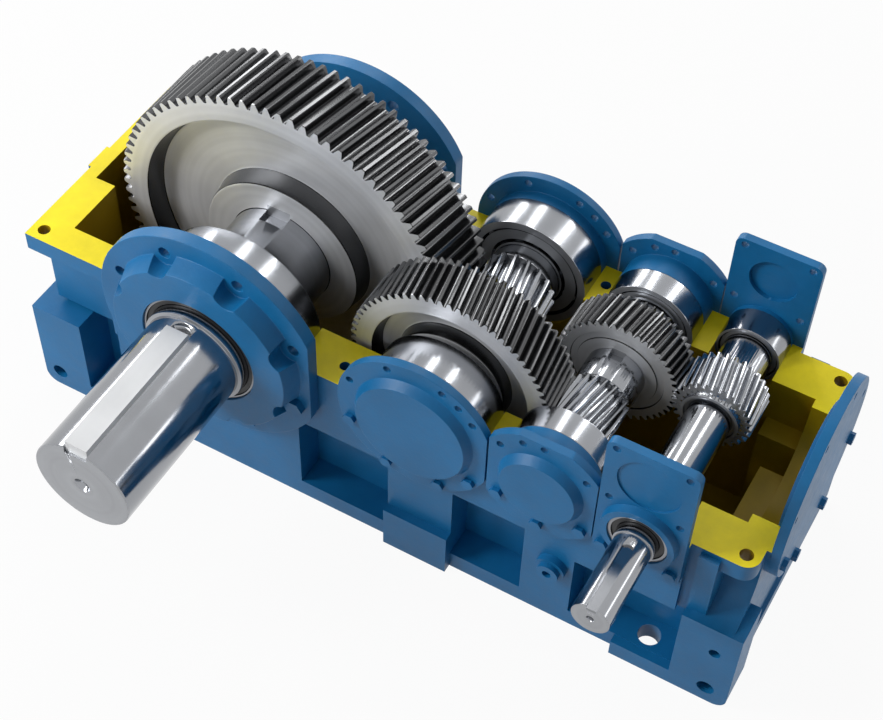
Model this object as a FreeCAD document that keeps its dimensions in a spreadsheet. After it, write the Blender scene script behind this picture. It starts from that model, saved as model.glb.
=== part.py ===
import FreeCAD, Part
import math
import os
from types import SimpleNamespace
import Sketcher

# Reduction gearbox, three helical stages, upper casing taken off.
# X runs along the casing from the output end to the input end, Y along the
# shafts with the shaft ends towards -Y, Z up. The origin is the middle of the
# foot bolt pattern on the base plane.

driving_sizes = [
    # casing
    ("casing_half_length", "664"),
    ("flange_half_width", "211.5"),
    ("flange_thick", "36"),
    ("shaft_height", "355"),
    ("seat_half_width", "221.5"),
    ("foot_half_width", "237.5"),
    ("wall_half_width", "165"),
    ("wall_thick", "30"),
    ("floor_thick", "30"),
    ("beam_depth", "147"),
    ("rail_height", "37"),
    ("foot_block_height", "199"),
    ("left_shoulder", "208"),
    ("left_shoulder_half_width", "200"),
    ("foot_corner", "24"),
    ("foot_hollow", "72"),
    ("end_foot_reach", "7"),
    ("rib_foot_height", "95"),
    ("shelf_height", "265"),
    ("ledge_height", "235"),
    ("foot_bolt_x", "526"),
    ("foot_bolt_y", "195"),
    ("foot_bolt_radius", "19.5"),
    ("flange_bolt_x", "641"),
    ("flange_bolt_y", "189"),
    ("flange_bolt_radius", "11"),
    ("end_bore_radius", "117"),
    ("end_cover_radius", "167"),
    ("end_cover_thick", "16"),
    ("end_seat_height", "7"),
    # shaft lines
    ("output_offset", "270"),
    ("low_centres", "373"),
    ("mid_centres", "221"),
    ("high_centres", "166"),
    # gear stages, low speed to high speed
    ("low_module", "7"),
    ("low_width", "132"),
    ("low_start", "-31"),
    ("mid_module", "5"),
    ("mid_width", "90"),
    ("mid_start", "-127"),
    ("high_module", "4.5"),
    ("high_width", "68"),
    ("high_start", "25"),
    ("tooth_play", "0.25"),
    # shaft ends and journals
    ("output_end_radius", "85"),
    ("output_end_reach", "581"),
    ("output_journal_radius", "92"),
    ("output_seat_radius", "95"),
    ("output_key_width", "40"),
    ("output_key_height", "22"),
    ("output_key_length", "263"),
    ("input_end_radius", "31"),
    ("input_end_reach", "403"),
    ("input_journal_radius", "34"),
    ("input_seat_radius", "35"),
    ("input_body_radius", "37.5"),
    ("input_key_width", "18"),
    ("input_key_depth", "7"),
    ("second_seat_radius", "50"),
    ("second_gear_radius", "62"),
    ("third_seat_radius", "37.5"),
    ("third_gear_radius", "46"),
    # bearings, outer radius and width
    ("bearing_one_radius", "145"),
    ("bearing_one_width", "75"),
    ("bearing_two_radius", "107.5"),
    ("bearing_two_width", "62"),
    ("bearing_three_radius", "80"),
    ("bearing_three_width", "45"),
    ("bearing_four_radius", "55"),
    ("bearing_four_width", "50"),
    ("bearing_reach", "140"),
    ("bearing_four_reach", "164"),
    # covers
    ("cover_thick", "14.5"),
    ("big_cover_radius", "209"),
    ("big_cover_flat", "190"),
    ("big_cover_thick", "24"),
    ("big_boss_radius", "170"),
    ("big_boss_height", "32"),
    ("output_seal_radius", "105.5"),
    ("mid_cover_radius", "137.5"),
    ("mid_cover_flat", "127"),
    ("mid_disc_radius", "105"),
    ("disc_height", "15"),
    ("disc_slope", "9"),
    ("small_cover_radius", "112"),
    ("small_cover_half_width", "91"),
    ("small_cover_half_height", "104"),
    ("small_disc_radius", "72.5"),
    ("tall_cover_half_width", "73"),
    ("tall_cover_top", "185"),
    ("tall_cover_bottom", "92"),
    ("tall_blank_radius", "51"),
    ("tall_blank_rise", "118"),
    ("input_boss_radius", "63.5"),
    ("input_seal_radius", "49.5"),
    # fasteners, hexagon across flats and clearances
    ("large_bolt_radius", "10"),
    ("large_bolt_flats", "30"),
    ("small_bolt_radius", "6"),
    ("small_bolt_flats", "19"),
    ("plug_radius", "16"),
    ("drain_x", "354"),
    ("drain_z", "147"),
    ("bolt_play", "0.5"),
    ("seat_play", "0.05"),
    ("run_gap", "0.4"),
]

gear_teeth = SimpleNamespace(
    low_gear=88, low_pinion=17,
    mid_gear=69, mid_pinion=18,
    high_gear=45, high_pinion=28,
)
pressure_angle = math.radians(20)

doc = FreeCAD.newDocument("gearbox")
sheet = doc.addObject("Spreadsheet::Sheet", "dims")
for row, (alias, text) in enumerate(driving_sizes, start=1):
    sheet.set("A%d" % row, alias)
    sheet.set("B%d" % row, text)
    sheet.setAlias("B%d" % row, alias)
doc.recompute()


class Size:
    """A sheet value, or a sum worked out from sheet values, with its formula."""

    def __init__(self, number, formula):
        self.number = number
        self.formula = formula

    def __add__(self, other):
        other = as_size(other)
        return Size(self.number + other.number, "(%s + %s)" % (self.formula, other.formula))

    def __sub__(self, other):
        other = as_size(other)
        return Size(self.number - other.number, "(%s - %s)" % (self.formula, other.formula))

    def __mul__(self, other):
        other = as_size(other)
        return Size(self.number * other.number, "(%s * %s)" % (self.formula, other.formula))

    def __truediv__(self, other):
        other = as_size(other)
        return Size(self.number / other.number, "(%s / %s)" % (self.formula, other.formula))

    def __radd__(self, other):
        return as_size(other) + self

    def __rsub__(self, other):
        return as_size(other) - self

    def __rmul__(self, other):
        return as_size(other) * self

    def __neg__(self):
        return Size(-self.number, "(0 - %s)" % self.formula)


def as_size(value):
    if isinstance(value, Size):
        return value
    return Size(float(value), "%.6f" % value)


dims = SimpleNamespace(**{
    alias: Size(float(sheet.get(alias)), "dims." + alias)
    for alias, text in driving_sizes
})

output_x = -dims.output_offset
second_x = output_x + dims.low_centres
third_x = second_x + dims.mid_centres
input_x = third_x + dims.high_centres
cavity_half_width = dims.wall_half_width - dims.wall_thick
front, rear = -1, 1

about_x = FreeCAD.Vector(1, 0, 0)
about_y = FreeCAD.Vector(0, 1, 0)
outward = {
    front: FreeCAD.Rotation(about_x, 90),
    rear: FreeCAD.Rotation(about_x, -90),
}
pieces = []


def bind(item, prop, value):
    """Ties a property to the sheet through the value's formula."""
    item.setExpression(prop, as_size(value).formula)


def place(item, x, y, z, rotation=None):
    if rotation is not None:
        item.Placement = FreeCAD.Placement(FreeCAD.Vector(), rotation)
    bind(item, "Placement.Base.x", x)
    bind(item, "Placement.Base.y", y)
    bind(item, "Placement.Base.z", z)


def box(name, x, y, z):
    """A block given by its low and high limit along each axis."""
    item = doc.addObject("Part::Box", name)
    bind(item, "Length", x[1] - x[0])
    bind(item, "Width", y[1] - y[0])
    bind(item, "Height", z[1] - z[0])
    place(item, x[0], y[0], z[0])
    return item


def rod(name, radius, length, x, y, z, rotation=None):
    item = doc.addObject("Part::Cylinder", name)
    bind(item, "Radius", radius)
    bind(item, "Height", length)
    place(item, x, y, z, rotation)
    return item


def taper(name, radius_low, radius_high, length, x, y, z, rotation=None):
    item = doc.addObject("Part::Cone", name)
    bind(item, "Radius1", radius_low)
    bind(item, "Radius2", radius_high)
    bind(item, "Height", length)
    place(item, x, y, z, rotation)
    return item


def joined(name, items):
    if len(items) == 1:
        return items[0]
    item = doc.addObject("Part::MultiFuse", name)
    item.Shapes = items
    item.Refine = True
    return item


def without(name, base, tools):
    item = doc.addObject("Part::Cut", name)
    item.Base = base
    item.Tool = joined(name + "_tools", tools)
    item.Refine = True
    return item


def overlap(name, base, tool):
    item = doc.addObject("Part::Common", name)
    item.Base = base
    item.Tool = tool
    return item


def rounded(name, base, radius, direction, keep=lambda edge: True):
    """Fillets the straight edges of a piece that run along one direction."""
    doc.recompute()
    picked = []
    for index, edge in enumerate(base.Shape.Edges, start=1):
        if not isinstance(edge.Curve, Part.Line):
            continue
        if abs(abs(edge.tangentAt(edge.FirstParameter).dot(direction)) - 1) < 1e-6 and keep(edge):
            picked.append((index, radius.number, radius.number))
    item = doc.addObject("Part::Fillet", name)
    item.Base = base
    item.Edges = picked
    return item


def piece(item, label):
    item.Label = label
    pieces.append(item)
    return item


def placed_shape(name, shape):
    """A feature for a shape that no primitive or body makes."""
    item = doc.addObject("Part::Feature", name)
    item.Shape = shape
    return item


def turned(name, outline, x, start, z):
    """A body turned about its own Y axis from (radius, distance) corners.

    Distances run along Y from the start, and a radius of None lies on the axis.
    """
    body = doc.addObject("PartDesign::Body", name)
    sketch = body.newObject("Sketcher::SketchObject", name + "_profile")
    plane = [f for f in body.Origin.OriginFeatures if f.Role == "XY_Plane"][0]
    sketch.AttachmentSupport = [(plane, "")]
    sketch.MapMode = "FlatFace"
    corners = [
        FreeCAD.Vector(0 if radius is None else as_size(radius).number, as_size(along).number, 0)
        for radius, along in outline
    ]
    count = len(corners)
    for index in range(count):
        sketch.addGeometry(Part.LineSegment(corners[index], corners[(index + 1) % count]), False)
    for index in range(count):
        sketch.addConstraint(Sketcher.Constraint("Coincident", index, 2, (index + 1) % count, 1))
    for index, (radius, along) in enumerate(outline):
        if radius is None:
            sketch.addConstraint(Sketcher.Constraint("PointOnObject", index, 1, -2))
        else:
            number = sketch.addConstraint(
                Sketcher.Constraint("DistanceX", -1, 1, index, 1, corners[index].x))
            sketch.setExpression("Constraints[%d]" % number, as_size(radius).formula)
        if corners[index].y == 0:
            sketch.addConstraint(Sketcher.Constraint("PointOnObject", index, 1, -1))
        else:
            number = sketch.addConstraint(
                Sketcher.Constraint("DistanceY", -1, 1, index, 1, corners[index].y))
            sketch.setExpression("Constraints[%d]" % number, as_size(along).formula)
    spin = body.newObject("PartDesign::Revolution", name + "_turn")
    spin.Profile = sketch
    spin.ReferenceAxis = (sketch, ["V_Axis"])
    spin.Angle = 360
    body.Tip = spin
    place(body, x, start, z)
    return body


def stepped(steps, chamfer=None):
    """The corners of a solid shaft from its (radius, end distance) steps."""
    outline = [(None, as_size(0))]
    last = as_size(0)
    for number, (radius, end) in enumerate(steps):
        if number == 0 and chamfer is not None:
            outline.append((radius - chamfer, last))
            outline.append((radius, last + chamfer))
        else:
            outline.append((radius, last))
        outline.append((radius, end))
        last = end
    outline.append((None, last))
    return outline


# Gear teeth

def helix_cosine(module, teeth, other_teeth, centres):
    return (teeth + other_teeth) * module.number / (2 * centres.number)


def tooth_section(teeth, module, cosine, turn):
    """One transverse section of a helical gear as a closed polygon."""
    transverse = module.number / cosine
    pitch_radius = transverse * teeth / 2
    slope = math.atan(math.tan(pressure_angle) / cosine)
    base_radius = pitch_radius * math.cos(slope)
    tip_radius = pitch_radius + module.number
    root_radius = pitch_radius - 1.25 * module.number
    half_at_pitch = math.pi / (2 * teeth) - dims.tooth_play.number / pitch_radius
    inv_pitch = math.tan(slope) - slope
    radii = [pitch_radius, tip_radius]
    if base_radius > root_radius:
        radii.insert(0, base_radius)
    flank = []
    for radius in radii:
        angle = math.acos(min(1, base_radius / radius))
        flank.append((radius, half_at_pitch + inv_pitch - (math.tan(angle) - angle)))
    root_half = flank[0][1] + 0.2 * (math.pi / teeth - flank[0][1])
    flank.insert(0, (root_radius, root_half))
    corners = []
    for number in range(teeth):
        middle = turn + 2 * math.pi * number / teeth
        for radius, half in flank:
            corners.append((radius, middle - half))
        for radius, half in reversed(flank):
            corners.append((radius, middle + half))
    return [(r * math.cos(a), r * math.sin(a)) for r, a in corners]


def toothed_blank(teeth, module, cosine, hand, start, width, reference, turn, slices):
    """A helical gear blank along Y, twisted in slices of flat faces.

    Each twisted side is split along the diagonal that lies further inward, so
    that no flat face stands outside the tooth.
    """
    pitch_radius = module.number / cosine * teeth / 2
    twist_per_mm = hand * math.tan(math.acos(cosine)) / pitch_radius
    sections = []
    for number in range(slices + 1):
        along = start + width * number / slices
        section = tooth_section(teeth, module, cosine, turn - twist_per_mm * (along - reference))
        sections.append([FreeCAD.Vector(x, along, z) for x, z in section])
    faces = [Part.Face(Part.makePolygon(points + points[:1]))
             for points in (sections[0], sections[-1])]
    for low, high in zip(sections, sections[1:]):
        for index, first in enumerate(low):
            after = (index + 1) % len(low)
            second, third, fourth = low[after], high[after], high[index]
            outwards = (fourth - first).cross(second - first)
            if (first + third - second - fourth).dot(outwards) > 0:
                corners = ((first, second, fourth), (second, third, fourth))
            else:
                corners = ((first, second, third), (first, third, fourth))
            for one, two, three in corners:
                faces.append(Part.Face(Part.makePolygon([one, two, three, one])))
    skin = Part.makeShell(faces)
    skin.sewShape()
    solid = Part.makeSolid(skin)
    if solid.Volume < 0:
        solid.reverse()
    return solid


right_hand, left_hand = 1, -1
low_cosine = helix_cosine(dims.low_module, gear_teeth.low_gear, gear_teeth.low_pinion,
                          dims.low_centres)
mid_cosine = helix_cosine(dims.mid_module, gear_teeth.mid_gear, gear_teeth.mid_pinion,
                          dims.mid_centres)
high_cosine = helix_cosine(dims.high_module, gear_teeth.high_gear, gear_teeth.high_pinion,
                           dims.high_centres)


def moved_teeth(name, shape, x):
    item = placed_shape(name, shape)
    place(item, x, as_size(0), dims.shaft_height)
    return item


def gear_wheel(name, teeth, module, cosine, hand, x, start, width, bore, rim, hub, web):
    """A gear wheel with a rim, a dished web and a hub, and a keyed bore."""
    middle = start.number + width.number / 2
    teeth_item = moved_teeth(
        name + "_teeth",
        toothed_blank(teeth, module, cosine, hand, start.number, width.number, middle, 0, 2), x)
    pitch_radius = module / cosine * teeth / 2
    rim_radius = pitch_radius - rim
    depth = (width - web) / 2
    cuts = [rod(name + "_bore", bore + dims.seat_play, width + 2, x, start - 1,
                dims.shaft_height, outward[rear])]
    for side, face in ((rear, start), (front, start + width)):
        label = "%s_recess_%s" % (name, "front" if side == rear else "rear")
        bowl = taper(label, rim_radius, rim_radius - depth / 4, depth, x, face,
                     dims.shaft_height, outward[side])
        post = taper(label + "_hub", hub, hub + depth / 8, depth, x, face,
                     dims.shaft_height, outward[side])
        cuts.append(without(label + "_ring", bowl, [post]))
    return teeth_item, cuts


# Bearings

def bearing(prefix, side, x, bore, outer, reach, width, rollers):
    """Outer race, inner race and caged roller set of one bearing."""
    section = outer - bore
    race = section * 0.25
    inner_face = reach
    near = inner_face if side == rear else -(inner_face + width)
    outer_race = turned(
        prefix + "_outer_race",
        [(outer - race, as_size(0)), (outer, as_size(0)), (outer, width), (outer - race, width)],
        x, near, dims.shaft_height)
    piece(outer_race, prefix + "_outer_race")
    inner_race = turned(
        prefix + "_inner_race",
        [(bore + dims.seat_play, as_size(0)), (bore + race, as_size(0)),
         (bore + race, width), (bore + dims.seat_play, width)],
        x, near, dims.shaft_height)
    piece(inner_race, prefix + "_inner_race")
    roller_radius = section.number * 0.25 - dims.run_gap.number
    pitch = (outer.number + bore.number) / 2
    length = width.number * 0.7
    low = near.number + (width.number - length) / 2
    solids = []
    for number in range(rollers):
        angle = 2 * math.pi * (number + 0.5) / rollers
        middle = FreeCAD.Vector(pitch * math.cos(angle), low, pitch * math.sin(angle))
        corners = []
        for corner in range(8):
            around = angle + math.pi * corner / 4
            corners.append(middle + FreeCAD.Vector(
                roller_radius * math.cos(around), 0, roller_radius * math.sin(around)))
        face = Part.Face(Part.makePolygon(corners + corners[:1]))
        solids.append(face.extrude(FreeCAD.Vector(0, length, 0)))
    ring_thick = (width.number - length) * 0.3
    for along in (low - ring_thick, low + length):
        spot = FreeCAD.Vector(0, along, 0)
        disc = Part.makeCylinder(pitch + roller_radius * 0.7, ring_thick, spot, about_y)
        hole = Part.makeCylinder(pitch - roller_radius * 0.7, ring_thick, spot, about_y)
        solids.append(disc.cut(hole))
    roller_set = placed_shape(prefix + "_roller_set", Part.makeCompound(solids))
    place(roller_set, x, as_size(0), dims.shaft_height)
    piece(roller_set, prefix + "_roller_set")


lines = SimpleNamespace(
    one=SimpleNamespace(
        x=output_x, bore=dims.output_seat_radius, outer=dims.bearing_one_radius,
        width=dims.bearing_one_width, reach=dims.bearing_reach, rollers=18),
    two=SimpleNamespace(
        x=second_x, bore=dims.second_seat_radius, outer=dims.bearing_two_radius,
        width=dims.bearing_two_width, reach=dims.bearing_reach, rollers=11),
    three=SimpleNamespace(
        x=third_x, bore=dims.third_seat_radius, outer=dims.bearing_three_radius,
        width=dims.bearing_three_width, reach=dims.bearing_reach, rollers=11),
    four=SimpleNamespace(
        x=input_x, bore=dims.input_seat_radius, outer=dims.bearing_four_radius,
        width=dims.bearing_four_width, reach=dims.bearing_four_reach, rollers=14),
)
for name, line in vars(lines).items():
    for side, word in ((front, "front"), (rear, "rear")):
        bearing("shaft_%s_%s" % (name, word), side, line.x, line.bore, line.outer, line.reach,
                line.width, line.rollers)


# Covers

large_bolts = []
small_bolts = []


def bolt_holes(prefix, side, line, spots, open_spots, radius, thick, store):
    """Hole tools for a cover, and the places of the bolts that are fitted."""
    tools = []
    depth = thick + 4
    for number, (dx, dz) in enumerate(spots + open_spots):
        tools.append(rod(
            "%s_hole_%d" % (prefix, number), radius + dims.bolt_play, depth,
            line.x + dx, side * (dims.seat_half_width - 2), dims.shaft_height + dz,
            outward[side]))
    for dx, dz in spots:
        store.append((side, line.x + dx, dims.shaft_height + dz, thick))
    return tools


def on_circle(radius, degrees):
    angle = math.radians(degrees)
    return (radius * math.cos(angle), radius * math.sin(angle))


def spigot(prefix, side, line):
    """The ring of a cover that enters the bore and holds the race."""
    length = dims.seat_half_width - line.reach - line.width
    ring = rod(prefix + "_spigot", line.outer - dims.seat_play, length + 1, line.x,
               side * (line.reach + line.width), dims.shaft_height, outward[side])
    return ring, length


def round_cover(prefix, label, side, line, radius, flats, disc, bolt_circle, angles,
                open_angles):
    """A blind cover: clipped round plate, raised disc, spigot and hollow inside."""
    seat = side * dims.seat_half_width
    plate = rod(prefix + "_plate", radius, dims.cover_thick, line.x, seat,
                dims.shaft_height, outward[side])
    low = (seat if side == rear else seat - dims.cover_thick) - 1
    clip = box(prefix + "_clip", (line.x - flats[0], line.x + flats[1]),
               (low, low + dims.cover_thick + 2),
               (dims.shaft_height - flats[2], dims.shaft_height + flats[2]))
    plate = overlap(prefix + "_clipped", plate, clip)
    raised = taper(prefix + "_disc", disc, disc - dims.disc_slope,
                   dims.disc_height, line.x, side * (dims.seat_half_width + dims.cover_thick),
                   dims.shaft_height, outward[side])
    ring, length = spigot(prefix, side, line)
    hollow = rod(prefix + "_hollow", line.outer * 0.86, length + dims.cover_thick, line.x,
                 side * (line.reach + line.width - 1), dims.shaft_height, outward[side])
    spots = [on_circle(bolt_circle.number, a) for a in angles]
    open_spots = [on_circle(bolt_circle.number, a) for a in open_angles]
    tools = bolt_holes(prefix, side, line, spots, open_spots, dims.small_bolt_radius,
                       dims.cover_thick, small_bolts)
    body = joined(prefix + "_solid", [plate, raised, ring])
    piece(without(prefix, body, [hollow] + tools), label)


def big_cover(prefix, label, side, bored):
    """The output line's cover: thick plate, scalloped ring boss and seal bore."""
    line = lines.one
    height = dims.shaft_height
    seat = side * dims.seat_half_width
    plate = rod(prefix + "_plate", dims.big_cover_radius, dims.big_cover_thick, line.x, seat,
                height, outward[side])
    low = (seat if side == rear else seat - dims.big_cover_thick) - 1
    clip = box(prefix + "_clip", (line.x - 250, line.x + dims.big_cover_flat),
               (low, low + dims.big_cover_thick + 2), (height - 250, height + 250))
    plate = overlap(prefix + "_clipped", plate, clip)
    boss_face = side * (dims.seat_half_width + dims.big_cover_thick)
    boss = taper(prefix + "_boss", dims.big_boss_radius + 4, dims.big_boss_radius - 8,
                 dims.big_boss_height, line.x, boss_face, height, outward[side])
    bolt_circle = dims.big_cover_radius - 33
    angles = [-22.5, -67.5, -112.5, -157.5]
    open_angles = [22.5, 67.5, 112.5, 157.5]
    scallops = []
    for number, angle in enumerate(angles + open_angles):
        dx, dz = on_circle(bolt_circle.number, angle)
        scallops.append(rod("%s_scallop_%d" % (prefix, number), as_size(24),
                            dims.big_boss_height + 1, line.x + dx, boss_face, height + dz,
                            outward[side]))
    boss = without(prefix + "_scalloped", boss, scallops)
    ring, length = spigot(prefix, side, line)
    spots = [on_circle(bolt_circle.number, a) for a in angles]
    open_spots = [on_circle(bolt_circle.number, a) for a in open_angles]
    tools = bolt_holes(prefix, side, line, spots, open_spots, dims.large_bolt_radius,
                       dims.big_cover_thick, large_bolts)
    depth = length + dims.big_cover_thick
    if bored:
        tools.append(rod(prefix + "_bore", dims.output_seal_radius,
                         depth + dims.big_boss_height + 3, line.x,
                         side * (line.reach + line.width - 1), height, outward[side]))
    tools.append(rod(prefix + "_hollow", line.outer * 0.86, depth, line.x,
                     side * (line.reach + line.width - 1), height, outward[side]))
    body = joined(prefix + "_solid", [plate, boss, ring])
    piece(without(prefix, body, tools), label)


def tall_cover(prefix, label, side, bored):
    """The input line's tall plate, with a blank recess above the shaft bore."""
    line = lines.four
    height = dims.shaft_height
    seat = side * dims.seat_half_width
    low = seat if side == rear else seat - dims.cover_thick
    block = box(prefix + "_block",
                (line.x - dims.tall_cover_half_width, line.x + dims.tall_cover_half_width),
                (low, low + dims.cover_thick),
                (height - dims.tall_cover_bottom, height + dims.tall_cover_top))
    plate = rounded(prefix + "_plate", block, as_size(14), about_y)
    ring, length = spigot(prefix, side, line)
    parts = [plate, ring]
    face = side * (dims.seat_half_width + dims.cover_thick)
    spots = [(-57, -65), (57, -65)]
    open_spots = [(-57, 57), (57, 57), (-57, 173), (57, 173)]
    tools = bolt_holes(prefix, side, line, spots, open_spots, dims.small_bolt_radius,
                       dims.cover_thick, small_bolts)
    blank = rod(prefix + "_blank", dims.tall_blank_radius, as_size(4), line.x, face - side * 3,
                height + dims.tall_blank_rise, outward[side])
    tools.append(blank)
    if bored:
        parts.append(taper(prefix + "_boss", dims.input_boss_radius,
                           dims.input_boss_radius - 3, dims.disc_height - 2, line.x, face,
                           height, outward[side]))
        tools.append(rod(prefix + "_bore", dims.input_seal_radius,
                         length + dims.cover_thick + dims.disc_height + 3, line.x,
                         side * (line.reach + line.width - 1), height, outward[side]))
    else:
        tools.append(rod(prefix + "_hollow", dims.input_seal_radius - 5, length + 6, line.x,
                         side * (line.reach + line.width - 1), height, outward[side]))
    body = joined(prefix + "_solid", parts)
    piece(without(prefix, body, tools), label)


cover_sides = ((front, "front"), (rear, "rear"))
for side, word in cover_sides:
    big_cover("cover_one_" + word, word + "_cover_one", side, side == front)
    round_cover("cover_two_" + word, word + "_cover_two", side, lines.two,
                dims.mid_cover_radius,
                (dims.mid_cover_radius, dims.mid_cover_flat, dims.mid_cover_radius),
                dims.mid_disc_radius, dims.mid_cover_radius - 14,
                [-35.5, -67.5, -112.5, -157.5], [35.5, 52, 67.5, 112.5, 157.5])
    round_cover("cover_three_" + word, word + "_cover_three", side, lines.three,
                dims.small_cover_radius,
                (dims.small_cover_half_width, dims.small_cover_half_width,
                 dims.small_cover_half_height),
                dims.small_disc_radius, dims.small_cover_radius - 18,
                [-40, -90, -140], [40, 90, 112, 140])
    tall_cover("cover_four_" + word, word + "_cover_four", side, side == front)


# Seals

def seal(label, line, outer, journal, depth):
    face = dims.seat_half_width + depth
    width = as_size(14)
    piece(turned(label, [(journal + dims.run_gap, as_size(0)),
                         (outer - dims.seat_play, as_size(0)),
                         (outer - dims.seat_play, width),
                         (journal + dims.run_gap, width)],
                 line.x, -face, dims.shaft_height), label)


seal("output_shaft_seal", lines.one, dims.output_seal_radius, dims.output_journal_radius,
     dims.big_cover_thick + dims.big_boss_height - 4)
seal("input_shaft_seal", lines.four, dims.input_seal_radius, dims.input_journal_radius,
     dims.cover_thick + dims.disc_height - 5)


# End cover and its bolts

def end_cover():
    end = dims.casing_half_length + dims.end_seat_height
    turn = FreeCAD.Rotation(about_y, 90)
    height = dims.shaft_height
    plate = rod("end_plate", dims.end_cover_radius, dims.end_cover_thick, end, as_size(0),
                height, turn)
    spigot_rod = rod("end_spigot", dims.end_bore_radius - dims.seat_play, as_size(11),
                     end - 10, as_size(0), height, turn)
    circle = dims.end_cover_radius - 19
    tools = []
    bolts = []
    for number in range(8):
        dy, dz = on_circle(circle.number, 22.5 + 45 * number)
        tools.append(rod("end_hole_%d" % number, dims.small_bolt_radius + dims.bolt_play,
                         dims.end_cover_thick + 2, end - 1, as_size(dy), height + dz, turn))
        if dz < 0:
            bolts.append((dy, dz))
    piece(without("end_cover", joined("end_cover_solid", [plate, spigot_rod]), tools),
          "end_cover")
    return bolts


end_bolts = end_cover()


# Lower casing

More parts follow.
